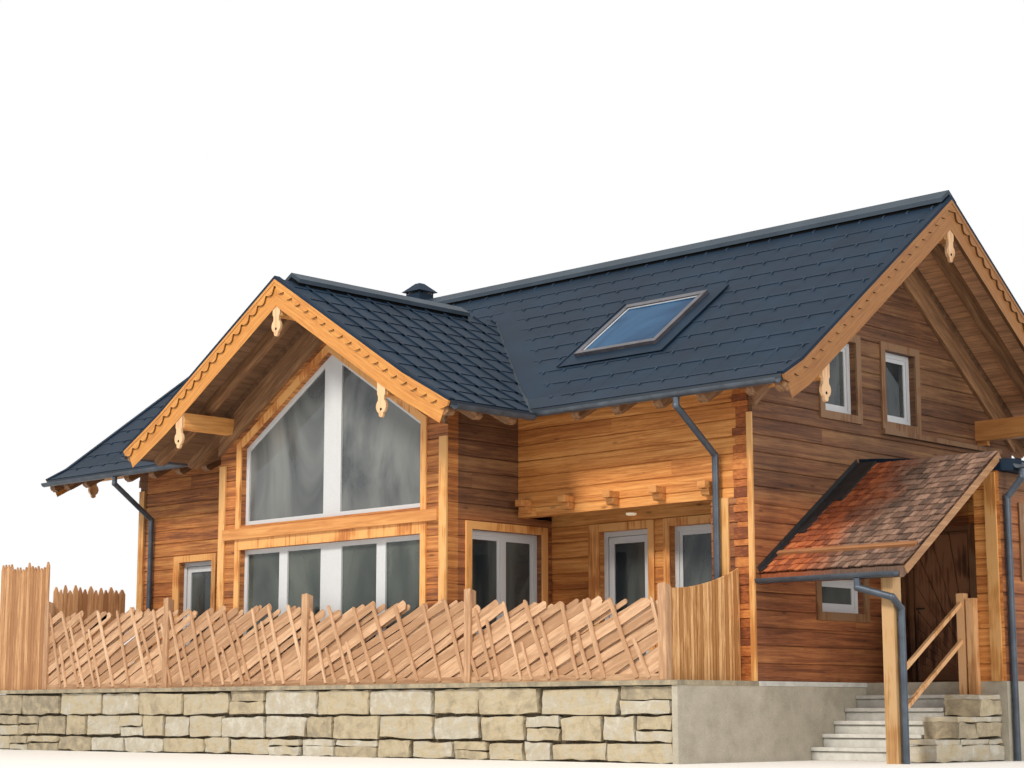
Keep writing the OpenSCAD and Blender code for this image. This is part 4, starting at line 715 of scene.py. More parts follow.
# The east overhang's boards are brightened about threefold, as painted light
east_painted_light = fitted(t, x, EAST_X + 0.005, EAST_X + 0.025, 1.0, 3.1)
board = scaled(t, tone, calc(t, "MULTIPLY", gap, east_painted_light))
surface(t, add(t, "ShaderNodeMix", {0: down, 6: srgb("#28323d"), 7: board}, 2, data_type="RGBA"), 0.6)
finish(roof_build_up, "main_roof_front", "main_roof_rear", "wing_roof")
finish(slate_metal, "annex_roof")

# Standing seams of the annex roof, 530 mm apart from wall to eave
SEAMS, FIRST_SEAM_Y, SEAM_STEP, ANNEX_REACH, ANNEX_EAVE_X = 7, -0.62, 0.53, 2.35, 9.0
annex_top = [v.co for v in nodes["annex_roof"].data.vertices]
head_z = max(v.z for v in annex_top)
foot_z = max(v.z for v in annex_top if v.x > ANNEX_EAVE_X)
bm = bmesh.new()
for i in range(SEAMS):
    y = FIRST_SEAM_Y + SEAM_STEP * i
    for v in box(bm, (EAST_X + 0.015, y - 0.01, SEAT), (EAST_X + ANNEX_REACH - 0.01, y + 0.01, 0.026)):
        v.co.z += head_z + (foot_z - head_z) * (v.co.x - EAST_X) / ANNEX_REACH
mesh_piece("annex_seams", bm, slate_metal, slot="roof_shingles")

# Vent hood on the ridge: a square sleeve with a pyramid lid over an open slit
VENT_X, LID_HALF, SLEEVE_HALF, LEG_AT, LEG_HALF = -3.035, 0.23, 0.17, 0.16, 0.01
SLEEVE_FOOT, SLEEVE_TOP, LID_Z, VENT_TOP, LID_TAPER = 7.64, 7.92, 7.955, 8.118, 0.25
bm = bmesh.new()
box(bm, (VENT_X - SLEEVE_HALF, -SLEEVE_HALF, SLEEVE_FOOT), (VENT_X + SLEEVE_HALF, SLEEVE_HALF, SLEEVE_TOP))
for i in (-1, 1):
    for j in (-1, 1):
        x, y = VENT_X + i * LEG_AT, j * LEG_AT
        box(bm, (x - LEG_HALF, y - LEG_HALF, SLEEVE_TOP), (x + LEG_HALF, y + LEG_HALF, LID_Z))
for v in box(bm, (VENT_X - LID_HALF, -LID_HALF, LID_Z), (VENT_X + LID_HALF, LID_HALF, VENT_TOP)):
    if v.co.z > LID_Z + 0.01:
        v.co.x, v.co.y = VENT_X + (v.co.x - VENT_X) * LID_TAPER, v.co.y * LID_TAPER
face_out(bm)
mesh_piece("vent_hood", bm, slate_metal, slot="roof_shingles", replaces=("roof_vent",))

PLATE_W, PLATE_L, PLATE_LIFT = 0.40, 0.44, 0.004


def roof_plate(fold, rib):
    """One plate: its lower edge folded over the one below, a low rib on its side fold."""
    bm = bmesh.new()
    rise = [(0.0, PLATE_LIFT), (0.0, fold), (0.012, fold + 0.002), (0.06, fold * 0.6 + 0.002),
            (PLATE_L, 0.005)]
    left, right = ([bm.verts.new((x, y, z)) for y, z in rise] for x in (0.002, PLATE_W - 0.002))
    for i in range(len(rise) - 1):
        bm.faces.new((left[i], right[i], right[i + 1], left[i + 1]))
    box(bm, (0.0, 0.004, PLATE_LIFT), (rib * 0.8, PLATE_L, rib))
    return bm


def snow_stopper(height):
    """A pressed knob at the head of each plate, just under the fold of the next row."""
    bm = bmesh.new()
    for v in box(bm, (0.0, PLATE_L - 0.085, PLATE_LIFT), (0.026, PLATE_L - 0.012, height)):
        if v.co.z > 0.01 and v.co.y < PLATE_L - 0.05:
            v.co.y += 0.02
    return bm


def plate_field(name, place, x0, x1, rake, flashed=(), fold=0.012, rib=0.007, knob_metal=stopper_highlight_metal):
    """One roof slope in plates, cut at its ends and beside the valleys."""
    length = rake_length(rake)
    columns, rows = math.ceil((x1 - x0) / PLATE_W) + 1, math.ceil(length / PLATE_L)
    for one, mat, title in ((roof_plate(fold, rib), slate_metal, "_plates"),
                            (snow_stopper(fold + 0.011), knob_metal, "_stoppers")):
        bm = repeat(one, mat, columns, rows, PLATE_W, PLATE_L, seed=3)
        bmesh.ops.translate(bm, verts=bm.verts, vec=(x0, 0, 0))
        cut(bm, ((x0, 0, 0), (-1, 0, 0)), ((x1, 0, 0), (1, 0, 0)), ((0, length - 0.02, 0), (0, 1, 0)))
        bend_to(bm.verts, place)
        cut(bm, *flashed)
        mesh_piece(name + title, bm, mat, slot="roof_shingles")


# The valleys run from the wing's ridge to the eaves; plates stop beside the flashing
VALLEY = [(0, -1.101, WING_RIDGE_Z), (2.75, -3.381, 5.132), (3.117, -3.64, 4.937), (3.544, -4.05, 4.71)]
FLASHING_W, FLASHING_LIFT, SADDLE_END, WING_PLATES_END = 0.62, 0.012, -0.6, -1.0
valley_top, valley_foot = (Vector((WING_X + x, y, z)) for x, y, z in (VALLEY[0], VALLEY[-1]))
run = valley_foot - valley_top
side = Vector((-run.y, run.x, 0)).normalized()


def both_valleys(point, normal):
    """A cutting plane along the right valley, and its mirror image along the left one."""
    mirrored = Vector((2 * WING_X - point.x, point.y, point.z))
    return [(point, normal)], [(mirrored, Vector((-normal.x, normal.y, normal.z)))]


right, left = both_valleys(valley_top + side * 0.28, -side)
front = slope(MAIN_RAKE, lambda a, p, z: (a, p, z))
plate_field("front_right", front, WING_X, RIGHT_END, MAIN_RAKE, right)
plate_field("front_left", front, LEFT_END, WING_X, MAIN_RAKE, left)
plate_field("rear", slope(MAIN_RAKE, lambda a, p, z: (a, -p, z)), LEFT_END, RIGHT_END, MAIN_RAKE)
right, left = both_valleys(valley_top - side * 0.03, side)
for name, s, flashed in (("wing_right", 1, right), ("wing_left", -1, left)):
    plate_field(name, slope(WING_RAKE, lambda a, p, z: (WING_X + s * p, a, z)), WING_END, WING_PLATES_END,
                WING_RAKE, flashed, 0.016, 0.034, slate_metal)

# Valley flashing: one wide folded sheet in each valley
bm = bmesh.new()
for s in (1, -1):
    rows = [[bm.verts.new((WING_X + s * x + out, y, z + FLASHING_LIFT)) for out in (0, s * FLASHING_W)]
            for x, y, z in VALLEY]
    for a, b in zip(rows, rows[1:]):
        bm.faces.new((a[0], a[1], b[1], b[0]))
    top_y, top_z = VALLEY[0][1], WING_RIDGE_Z + FLASHING_LIFT
    saddle = ((WING_X, top_y), (WING_X + s * FLASHING_W, top_y), (WING_X, SADDLE_END))
    bm.faces.new([bm.verts.new((x, y, top_z + (y - top_y) * FALL)) for x, y in saddle])
face_out(bm)
mesh_piece("valley_flashing", bm, slate_metal, slot="roof_shingles")

# Ridge caps: folded sheet over a ventilation slit, painted black as the shade under the cap
black_shade = sheet("black_vent_mesh", "#040506", "#0b0c0e", 0.8, 0.1, patches=120)


CAP_W, CAP_LIFT, CAP_LIP, SLIT_INSET, WING_CAP = 0.19, 0.13, 0.062, 0.03, (-5.40, -1.9)


def cap(metal, slit, place, a0, a1, fall, ridge):
    """A folded cap with a deep lip on each side, lifted off the plates over a slit painted black as shade."""
    width, lift, lip = CAP_W, CAP_LIFT, CAP_LIP

    def run(bm, outline, inset):
        prism(bm, [[place(a, w, z) for w, z in outline] for a in (a0 + inset, a1 - inset)])

    top, edge = ridge + lift, ridge + lift - width * fall
    run(metal, [(-width, edge - lip), (-width, edge), (0, top), (width, edge), (width, edge - lip),
                (0, top - lip)], 0)
    width -= SLIT_INSET
    foot = ridge - width * fall
    run(slit, [(-width, foot), (-width, foot + lift - lip), (0, top - lip - 0.005),
               (width, foot + lift - lip), (width, foot), (0, ridge - 0.01)], 0.01)


caps, slit = bmesh.new(), bmesh.new()
cap(caps, slit, lambda a, w, z: (a, w, z), LEFT_END, RIGHT_END, FALL, RIDGE_Z)
cap(caps, slit, lambda a, w, z: (WING_X + w, a, z), *WING_CAP, WING_FALL, WING_RIDGE_Z)
face_out(caps, slit)
mesh_piece("ridge_cap_sheets", caps, rubbed_metal, slot="roof_shingles", replaces=("ridge_caps",))
mesh_piece("ridge_vent_slits", slit, black_shade, slot="roof_shingles")

## Barge boards
# Two spruce boards lapped on each rake: the upper one has a saw-cut wave along its lower
# edge, 220 mm a wave, and a small strip on top; a thin folded metal edge covers the tops.
WAVE, WAVE_STEP, OVERRUN, EAST_GABLE_SHADE = 0.22, 0.0275, 0.5, (7.0, 7.1)
bargeboard, t, co = begin("oiled_bargeboard")
board_uv = add(t, "ShaderNodeUVMap", uv_map="along_board")
grain = cloud(t, stretched(t, board_uv, (0.9, 16, 1)), 2.2, 8, 0.65)
tone = ramp(t, grain, (0.3, "#a5682f"), (0.5, "#c3843f"), (0.72, "#d59f58"))
# The saw-cut lower edges are end grain, a little darker, and painted much darker still as the shade under the
# waves
wood = scaled(t, tone, fitted(t, attribute(t, "sawn_edge"), 0.0, 1.0, 1.0, 0.3))
# The east gable's boards are painted darker, as the shade they lie in
wood = tinted(t, wood, "#c8c6d2", fitted(t, axes(t, co)[0], *EAST_GABLE_SHADE, 0.0, 1.0))
surface(t, wood, 0.55, grain, 0.25, 0.003)


def rake_strip(bm, rake, place, t0, t1, top, bottom, wave=0.0, start=0.0):
    """A board along a rake between two depths below it, its lower edge waved; mitred at the ridge."""
    part = bmesh.new()
    uv = part.loops.layers.uv.new("along_board")
    # The lower edges carry the painted shade under the waves
    sawn = part.loops.layers.float_color.new("sawn_edge")
    length = rake_length(rake) + OVERRUN
    count = int((length - start) / WAVE_STEP)
    rows = []
    for i in range(count + 1):
        s = start + (length - start) * i / count
        low = bottom - wave * (1 - math.sin(math.pi * ((s / WAVE) % 1.0)))
        rows.append([(part.verts.new((on_rake(rake, s, -h)[0], d, on_rake(rake, s, -h)[1])), s, h)
                     for d in (t0, t1) for h in (top, low)])

    def face(corners, value=0.0):
        f = part.faces.new([c[0] for c in corners])
        for loop, c in zip(f.loops, corners):
            loop[uv].uv = (c[1] + t1 * 9, c[2])
            loop[sawn] = (value, value, value, 1)

    for a, b in zip(rows, rows[1:]):
        for i, j, value in ((0, 1, 0), (1, 3, 1), (3, 2, 0), (2, 0, 0)):
            face((a[i], a[j], b[j], b[i]), value)
    face([rows[0][k] for k in (0, 2, 3, 1)])
    face([rows[-1][k] for k in (0, 1, 3, 2)])
    cut(part, ((0, 0, 0), (-1 if rake[0][0] > 0 else 1, 0, 0)))
    bend_to(part.verts, lambda v: place(*v))
    face_out(part)
    pour(part, bm)


def on_every_rake(name, mat, layers, **keep):
    """Runs boards along all rakes; a layer is two thicknesses, two depths, its wave and its start."""
    bm = bmesh.new()
    for layer in layers:
        t0, t1, *shape = layer
        for s in (1, -1):
            for x, out in ((RIGHT_END, 1), (LEFT_END, -1)):
                rake_strip(bm, MAIN_RAKE, lambda p, d, z: (x + out * d, s * p, z), t0, t1, *shape)
            rake_strip(bm, WING_RAKE, lambda p, d, z: (WING_X + s * p, WING_END - d, z), t0, t1, *shape)
    mesh_piece(name, bm, mat, **keep)


on_every_rake("barge_boards_lower", bargeboard, [(0.0, 0.008, 0.0, 0.35, 0.0, 0.06)], slot="spruce",
              replaces=("barge_boards",))
on_every_rake("barge_boards_waved", bargeboard, [(0.0082, 0.038, 0.012, 0.16, 0.075, 0.0),
                                                 (0.0382, 0.0445, 0.012, 0.052, 0.0, 0.0)], slot="spruce")
on_every_rake("verge_edges", slate_metal, [(-0.05, 0.0449, -0.03, 0.0115, 0.0, 0.0)], slot="roof_shingles")

# Each carved plate has a drilled hole near its foot, its shade painted as a black disc
HOLE_UP, HOLE_R, HOLE_D = 0.11, 0.02, 0.001
bm = bmesh.new()
for x in (RIGHT_END + SEAT, LEFT_END - SEAT):
    for y, z in ((0.0, 6.772), (3.09, 4.467), (-3.09, 4.467)):
        pin(bm, HOLE_R, HOLE_D, (x, y, z + HOLE_UP), Matrix.Rotation(math.pi / 2, 4, "Y"))
for x, z in ((WING_X, 5.993), (WING_X - 2.28, 4.569), (WING_X + 2.28, 4.569)):
    pin(bm, HOLE_R, HOLE_D, (x, WING_END - SEAT, z + HOLE_UP), Matrix.Rotation(math.pi / 2, 4, "X"))
mesh_piece("pendant_holes", bm, black_shade, slot="spruce")

## Windows and glass
# White satin frames with insulating glass; the wide one fills the wing's gable.

# Satin white lacquer on wood
white_lacquer = mottled("satin_white_lacquer", ((0.0, "#bfc2c5"), (1.0, "#cdd0d3")), (40, 3), 0.34,
                        bump=(0.06, 0.002))
finish(white_lacquer, "glazing_frame", "window_frames", "door_frames")


LOWER_PANES_TOP = 3.3


def glass(name, dark, pale, veil, mirror, lower=None):
    """Coated insulating glass: soft shapes of painted reflection over a clear pane, a mirror at a slant.

    veil is the share that the painted reflection covers; lower tints it on the panes of the ground floor."""
    m, t, co = begin(name)
    reflection_shapes = cloud(t, stretched(t, co, (1.0, 1.0, 0.45)), 0.9, 4, 0.55, 0.8)
    colour = ramp(t, reflection_shapes, (0.38, dark), (0.6, pale))
    if lower:
        colour = tinted(t, colour, lower, calc(t, "LESS_THAN", axes(t, co)[2], LOWER_PANES_TOP))
    clear = add(t, "ShaderNodeBsdfTransparent", Color=srgb("#c2c8c4"))
    painted_reflection = add(t, "ShaderNodeBsdfDiffuse", {"Color": colour})
    body = add(t, "ShaderNodeMixShader", {0: veil, 1: clear, 2: painted_reflection})
    gloss = add(t, "ShaderNodeBsdfGlossy", Color=srgb("#dfe6ec"), Roughness=0.02)
    pane = add(t, "ShaderNodeMixShader", {0: add(t, "ShaderNodeFresnel", IOR=mirror), 1: body, 2: gloss})
    add(t, "ShaderNodeOutputMaterial", {"Surface": pane})
    return m


gable_glass = glass("gable_glass", "#62676a", "#979b9a", 0.6, 1.45, "#c4cabf")
pane_glass = glass("insulating_glass", "#2b3033", "#626866", 0.75, 1.45)
# The roof window's painted reflection is sky blue
sky_glass = glass("sky_facing_glass", "#18385a", "#30587c", 0.92, 1.12)
finish(gable_glass, "glazing_panes")
finish(pane_glass, "window_panes")


def rim(a0, a1, b0, b1, left, right=None, low=None, high=None):
    """The four strips of a frame round a rectangle: full-height stiles, then rails between them."""
    right, low, high = (left if width is None else width for width in (right, low, high))
    return ((a0, a0 + left, b0, b1), (a1 - right, a1, b0, b1), (a0 + left, a1 - right, b0, b0 + low),
            (a0 + left, a1 - right, b1 - high, b1))


# Each window pane sits in a sash 55 mm wide, which stands 12 mm proud of the glass
SASH_W, SASH_T = 0.055, 0.012
panes = bmesh.new()
panes.from_mesh(nodes["window_panes"].data)
bmesh.ops.remove_doubles(panes, verts=panes.verts, dist=0.0001)
bm = bmesh.new()
found = set()
for first in panes.verts:
    if first in found:
        continue
    pane, queue = [], [first]
    while queue:
        v = queue.pop()
        if v not in found:
            found.add(v)
            pane.append(v.co)
            queue += [e.other_vert(v) for e in v.link_edges]
    lo, hi = (Vector([f(c[k] for c in pane) for k in range(3)]) for f in (min, max))
    # A pane is thin along x or y, and looks away from the middle of the house
    deep = 0 if hi.x - lo.x < 0.05 else 1
    wide = 1 - deep
    near = hi[deep] + SEAT if lo[deep] > 0 else lo[deep] - SASH_T - SEAT
    for a0, a1, z0, z1 in rim(lo[wide], hi[wide], lo.z, hi.z, SASH_W):
        c0, c1 = [0, 0, z0], [0, 0, z1]
        c0[wide], c1[wide], c0[deep], c1[deep] = a0, a1, near, near + SASH_T
        box(bm, c0, c1)
panes.free()
mesh_piece("window_sashes", bm, white_lacquer, slot="white_frame")

## Doors
# Both terrace doors are white lacquered frames round one insulating pane, with a steel lever; the entrance
# leaf is dark spruce with boards that fan out from its hinge foot.
HINGES_Z, HANDLE_Z, LEAF_Z, LEAF_Y = (1.26, 2.75), 2.02, (1.02, 3.054), (0.02, 0.08)
STILE, LEAF_W, REBATE, PIN_R, PIN_L, FLAP_W, FLAP_H = 0.095, 0.748, 0.01, 0.009, 0.0447, 0.03, 0.045


def knuckles(bm, x, y, side):
    """The leaf's hinge knuckles: short pins with a flap screwed to the stile."""
    for z in HINGES_Z:
        pin(bm, PIN_R, PIN_L, (x, y + 0.0893, z + 0.0227), sides=16)
        flap = x, x + side * FLAP_W
        box(bm, (min(flap), y + 0.08, z), (max(flap), y + 0.0845, z + FLAP_H))


def lever(bm, x, y, side):
    """Plate, neck and lever of one handle, on the outer face."""
    reach = side * 0.11
    box(bm, (x - 0.02, y + 0.012, HANDLE_Z - 0.09), (x + 0.02, y + 0.02, HANDLE_Z + 0.09))
    box(bm, (x - 0.01, y - 0.03, HANDLE_Z - 0.01), (x + 0.01, y + 0.013, HANDLE_Z + 0.01))
    box(bm, (x - 0.01 + min(0, reach), y - 0.044, HANDLE_Z - 0.01),
        (x + 0.01 + max(0, reach), y - 0.03, HANDLE_Z + 0.01))


# Brushed steel for levers and hinges: fine upright scratches, a broad highlight
brushed_steel, t, co = begin("brushed_steel")
surface(t, srgb("#8f9296"), 0.34, cloud(t, stretched(t, co, (1500, 1500, 30)), 1), 0.2, 0.0004, Metallic=1.0)

for node, body, x0, y in (("terrace_door", "terrace_leaf", 3.501, -2.46),
                          ("garden_door", "garden_leaf", -5.399, -3.16)):
    x1 = x0 + LEAF_W
    bm = bmesh.new()
    for a0, a1, z0, z1 in rim(x0, x1, *LEAF_Z, STILE):
        box(bm, (a0, y + LEAF_Y[0], z0), (a1, y + LEAF_Y[1], z1))
    mesh_piece(node + "_sash", bm, white_lacquer, body, "white_frame", replaces=(node,), bevel=(0.004, 2))
    bm = bmesh.new()
    inset = STILE - REBATE
    box(bm, (x0 + inset, y + 0.042, LEAF_Z[0] + inset), (x1 - inset, y + 0.058, LEAF_Z[1] - inset))
    mesh_piece(node + "_glass", bm, pane_glass, body, "window_glass")
    bm = bmesh.new()
    lever(bm, x1 - STILE / 2, y, -1)
    knuckles(bm, x0 - 0.003, y, 1)
    mesh_piece(node + "_fittings", bm, brushed_steel, body, "white_frame")

# Dark spruce for the entrance leaf and the frame round it
DOOR_X, DOOR_Y = (6.811, 7.711), (0.21, 0.27)
door_dark_wood = upright_material("dark_stained_spruce", "#3c2517", "#5f3d27", "#7d5639")
second_finish("door_frames", door_dark_wood, lambda p: p.center.x > EAST_SIDE)
black_iron = sheet("forged_black_iron", "#17181a", "#26282b", 0.5, patches=30)
bm = bmesh.new()
box(bm, (DOOR_X[0], DOOR_Y[0], LEAF_Z[0]), (DOOR_X[1], DOOR_Y[1], LEAF_Z[1]))
mesh_piece("entrance_leaf_core", bm, door_dark_wood, "entrance_leaf", "door_wood", replaces=("entrance_door",))

# Eleven boards fan out from the hinge foot, every other one a little thicker
FAN_BOARDS, FAN_REACH, FAN_HUB, FAN_EDGE_X, FAN_TOP = 11, 2.6, (7.69, 1.04), 6.84, 3.02
bm = bmesh.new()
for i in range(FAN_BOARDS):
    rays = (math.radians(90 + (90 * k) / FAN_BOARDS) for k in (i + 0.04, i + 0.96))
    board = [FAN_HUB] + [(FAN_HUB[0] + FAN_REACH * math.cos(a), FAN_HUB[1] + FAN_REACH * math.sin(a))
                         for a in rays]
    thick = 0.016 if i % 2 else 0.012
    prism(bm, [[(x, y, z) for x, z in board] for y in (DOOR_Y[0] - SEAT, DOOR_Y[0] - thick)])
cut(bm, ((FAN_EDGE_X, 0, 0), (-1, 0, 0)), ((0, 0, FAN_TOP), (0, 0, 1)))
bmesh.ops.holes_fill(bm, edges=[e for e in bm.edges if e.is_boundary], sides=0)
face_out(bm)
door_rays = upright_material("stained_fan_boards", "#4a2d1b", "#6e4830", "#94694a")
mesh_piece("fan_boards", bm, door_rays, "entrance_leaf", "door_wood")
bm = bmesh.new()
lever(bm, DOOR_X[0] + 0.06, 0.19, 1)
knuckles(bm, 7.702, 0.19, -1)
mesh_piece("entrance_fittings", bm, black_iron, "entrance_leaf", "door_wood")

## Porch roof
# Hand-split larch shingles about 85 mm wide, laid double with 145 mm showing, on a boarded slab, flashed in
# black steps; painted sunlight makes them rust-red near the wall and painted shade silver-brown further out.
PORCH_FOOT, PORCH_HEAD, PORCH_END, PORCH_LENGTH = (-3.15, 2.345), (-0.85, 3.94), 8.83, 2.79
SHINGLE_HALF, SHINGLE_L, SHINGLE_STEP, SHINGLE_ROW, SHINGLE_FACES = 0.042, 0.26, 0.0915, 0.145, 6
SHINGLE_COLUMNS, SHINGLE_ROWS = 24, 19
shingle, t, co = begin("split_larch_shingle")
x, y, z = axes(t, co)
# Painted sunlight near the wall gives way to painted shade towards the verge
shade_share = fitted(t, calc(t, "SUBTRACT", x, cloud(t, co, 1.3, 4, 0.6)), 6.75, 7.3, 0.0, 1.0)
grain = cloud(t, stretched(t, co, (30, 2.5, 2.5)), 3, 6, 0.7)
mixed = calc(t, "ADD", grain, attribute(t, "shingle_shade"))
sunlit_tone, shaded_tone = (ramp(t, mixed, *zip((0.35, 0.65, 0.95), colours)) for colours in (
    ("#7a3c1f", "#a8592f", "#cb7a48"), ("#4d3b31", "#7c5f4e", "#a58672")))
colour = add(t, "ShaderNodeMix", {0: shade_share, 6: sunlit_tone, 7: shaded_tone}, 2, data_type="RGBA")
surface(t, colour, 0.78, grain, 0.5, 0.005)
finish(shingle, "porch_roof")


def porch_slope(v):
    """Lays a flat point (x, up the slope, off it) on the porch roof."""
    dy, dz = PORCH_HEAD[0] - PORCH_FOOT[0], PORCH_HEAD[1] - PORCH_FOOT[1]
    run = math.hypot(dy, dz)
    return (v.x, PORCH_FOOT[0] + dy / run * v.y - dz / run * v.z,
            PORCH_FOOT[1] + dz / run * v.y + dy / run * v.z)


one = bmesh.new()
for v in box(one, (-SHINGLE_HALF, 0.0, 0.004), (SHINGLE_HALF, SHINGLE_L, 0.018)):
    v.co.z += 0.026 if v.co.y < 0.1 else -0.002
bm = repeat(one, shingle, SHINGLE_COLUMNS, SHINGLE_ROWS, SHINGLE_STEP, SHINGLE_ROW, bond=0.045,
            shift=(0.002, 0.010, 0.001), turn=(0.004, 0, 0.02), size=(0.02, 0.03, 0.15), seed=9)
layer = bm.loops.layers.float_color.new("shingle_shade")
rnd = random.Random(8)
for i, f in enumerate(bm.faces):
    if i % SHINGLE_FACES == 0:
        value = rnd.uniform(-0.15, 0.3)
    for loop in f.loops:
        loop[layer] = (value, value, value, 1)
for v in bm.verts:
    v.co.x += EAST_X + 0.03
cut(bm, ((EAST_X + 0.002, 0, 0), (-1, 0, 0)), ((PORCH_END, 0, 0), (1, 0, 0)),
    ((0, PORCH_LENGTH, 0), (0, 1, 0)))
bend_to(bm.verts, porch_slope)
mesh_piece("porch_shingles", bm, shingle, slot="wood_shingles")

# Wall flashing: black sheet turned up 60 mm against the logs and cut in long steps on the roof
black_sheet = sheet("black_lead_sheet", "#141416", "#2b2a2c", 0.6, patches=6)
bm = bmesh.new()
for s0, s1, w in ((0.0, 0.95, 0.045), (0.95, 1.75, 0.16), (1.75, PORCH_LENGTH, 0.30)):
    bend_to(box(bm, (EAST_X + 0.0015, s0, 0.002), (EAST_X + 0.0015 + w, s1, 0.055)), porch_slope)
    bend_to(box(bm, (EAST_X + SEAT, s0, 0.002), (EAST_X + 0.0065, s1, 0.115)), porch_slope)
mesh_piece("step_flashing", bm, black_sheet, slot="roof_shingles")

# Verge board of the porch, plain greyed spruce 105 mm deep
bm = bmesh.new()
bend_to(box(bm, (8.8055, 0.0, -0.105), (8.827, 2.8, 0.0)), porch_slope)
mesh_piece("porch_verge_board", bm, greyed_y, slot="spruce")

## Drainage
# Half-round gutters and round pipes of coated steel on wall clips.
pipe_steel = sheet("coated_steel", "#3a424c", "#525c68", 0.4, 0.5, 0.3, 5)
finish(pipe_steel, "gutters", "downpipes")

## Fence
# Split larch: square posts with slanted tops, wide boards leaning right that nearly
# close the bays, light round-tipped sticks nailed across them and a foot plank below.
FENCE_Y, BAY, FIRST_POST, POST_HALF = -4.77, 3.37, 6.425, 0.06
POSTS = [FIRST_POST - BAY * i for i in range(5)]
TOPS = [1.18 + 0.075 * i for i in range(5)]
LARCH_GRAIN = (0.125, 0.125, 1.25)


def larch(name, lean, dark, middle, light):
    """Split larch gone pale in the sun: grain along its lean, a shade of its own for each stick."""
    m, t, co = begin(name)
    grain_co = add(t, "ShaderNodeMapping", {0: co}, vector_type="TEXTURE", Scale=LARCH_GRAIN,
                   Rotation=(0, math.radians(lean), 0))
    grain = cloud(t, grain_co, 3, 7, 0.66)
    total = calc(t, "ADD", grain, attribute(t, "stick_shade"))
    surface(t, ramp(t, total, (0.45, dark), (0.7, middle), (0.98, light)), 0.7, grain, 0.5, 0.006)
    return m


larch_up = larch("weathered_larch_upright", 0, "#ab8260", "#cfa882", "#e5c5a2")
larch_board = larch("split_larch_board", 65, "#a9815f", "#cfa783", "#e1c29e")
larch_stick = larch("peeled_larch_stick", -20, "#b48b68", "#d3ae8b", "#e8cdac")
larch_plank = larch("larch_foot_plank", 90, "#9c7453", "#c6a07c", "#dcbd9b")
# The end panels are painted lighter and warmer, as in sunlight
larch_sunlit_east = larch("warm_larch_panel", 0, "#ac7842", "#e4b27a", "#f9d8aa")
larch_sunlit_west = larch("orange_larch_picket", 0, "#a5754c", "#cd9c6e", "#e6be90")


def leaning(bm, foot, top, w, y0, y1, tip):
    """A flat stick from foot to top in the fence plane, its edges a little crooked, its tip narrowed."""
    start = len(bm.faces)
    dx, dz = top[0] - foot[0], top[1] - foot[1]
    length = math.hypot(dx, dz)
    ux, uz = dx / length, dz / length
    left, right = [], []
    n = 4
    for i in range(n + 1):
        s = length * i / n
        wl, wr = w / 2 + rnd.uniform(-0.006, 0.006), w / 2 + rnd.uniform(-0.006, 0.006)
        left.append((foot[0] + ux * s - uz * wl, foot[1] + uz * s + ux * wl))
        right.append((foot[0] + ux * s + uz * wr, foot[1] + uz * s - ux * wr))
    end = (foot[0] + ux * (length + tip), foot[1] + uz * (length + tip))
    half = w / 2 * 0.35
    outline = left + [(end[0] + s * uz * half, end[1] - s * ux * half) for s in (-1, 1)] + right[::-1]
    prism(bm, [[(x, y, z) for x, z in outline] for y in (y0, y1)])
    shade(bm, start, rnd.uniform(-0.12, 0.22), "stick_shade")


def keep_bay(bay, whole, x0, x1, foot):
    """Saws a bay's sticks off at its posts and its foot, and adds them to the whole fence."""
    cut(bay, ((x0, 0, 0), (-1, 0, 0)), ((x1, 0, 0), (1, 0, 0)), ((0, 0, foot), (0, 0, -1)))
    bmesh.ops.holes_fill(bay, edges=[e for e in bay.edges if e.is_boundary], sides=0)
    pour(bay, whole)


boards, sticks, planks = bmesh.new(), bmesh.new(), bmesh.new()
rnd = random.Random(23)
BOARD_LEAN, LAYER_GAP = math.radians(65), 0.0087
BOARD_FACE, BOARD_BACK, STICK_FACE, STICK_BACK = (FENCE_Y - d for d in (0.0215, 0.0133, 0.044, 0.0225))
foot = FLOOR_Z + 0.03
for i in range(4):
    x0, x1 = POSTS[i + 1] + POST_HALF, POSTS[i] - POST_HALF
    h = TOPS[i] - 0.17
    bay = bmesh.new()
    x = x0 - h * math.tan(BOARD_LEAN)
    depth = 0
    while x < x1:
        # Neighbours lie in two thin layers, since their slants differ and they may touch;
        # a narrower board behind closes the gap
        depth = LAYER_GAP - depth
        lean = BOARD_LEAN + math.radians(rnd.uniform(-2.5, 2.5))
        up = h - rnd.uniform(0.0, 0.11)
        leaning(bay, (x, foot), (x + up * math.tan(lean), foot + up), rnd.uniform(0.098, 0.128),
                BOARD_FACE + depth, BOARD_BACK + depth, 0.03)
        x += rnd.uniform(0.27, 0.33)
        up = h - rnd.uniform(0.0, 0.1)
        leaning(bay, (x - 0.15, foot), (x - 0.15 + up * math.tan(BOARD_LEAN), foot + up), 0.075,
                FENCE_Y + 0.012, FENCE_Y + 0.026, 0.02)
    keep_bay(bay, boards, x0, x1, foot)
    bay = bmesh.new()
    x = x0 - 0.05
    while x < x1 + 0.5 * h:
        lean = math.radians(rnd.uniform(15, 25))
        up = h + rnd.uniform(-0.09, 0.0)
        leaning(bay, (x, foot), (x - up * math.tan(lean), foot + up), rnd.uniform(0.046, 0.062),
                STICK_FACE, STICK_BACK, 0.035)
        # About every other place has a short stick too
        if rnd.random() < 0.5:
            up = h * rnd.uniform(0.45, 0.8)
            leaning(bay, (x + rnd.uniform(0.14, 0.22), foot), (x + 0.16 - up * math.tan(lean), foot + up),
                    rnd.uniform(0.04, 0.055), STICK_FACE + 0.002, STICK_BACK, 0.02)
        x += rnd.uniform(0.42, 0.54)
    keep_bay(bay, sticks, x0, x1, foot)
    start = len(planks.faces)
    box(planks, (x0, FENCE_Y - 0.03, FLOOR_Z + 0.002), (x1, FENCE_Y, FLOOR_Z + 0.08))
    shade(planks, start, rnd.uniform(-0.1, 0.1), "stick_shade")
face_out(boards, sticks, planks)
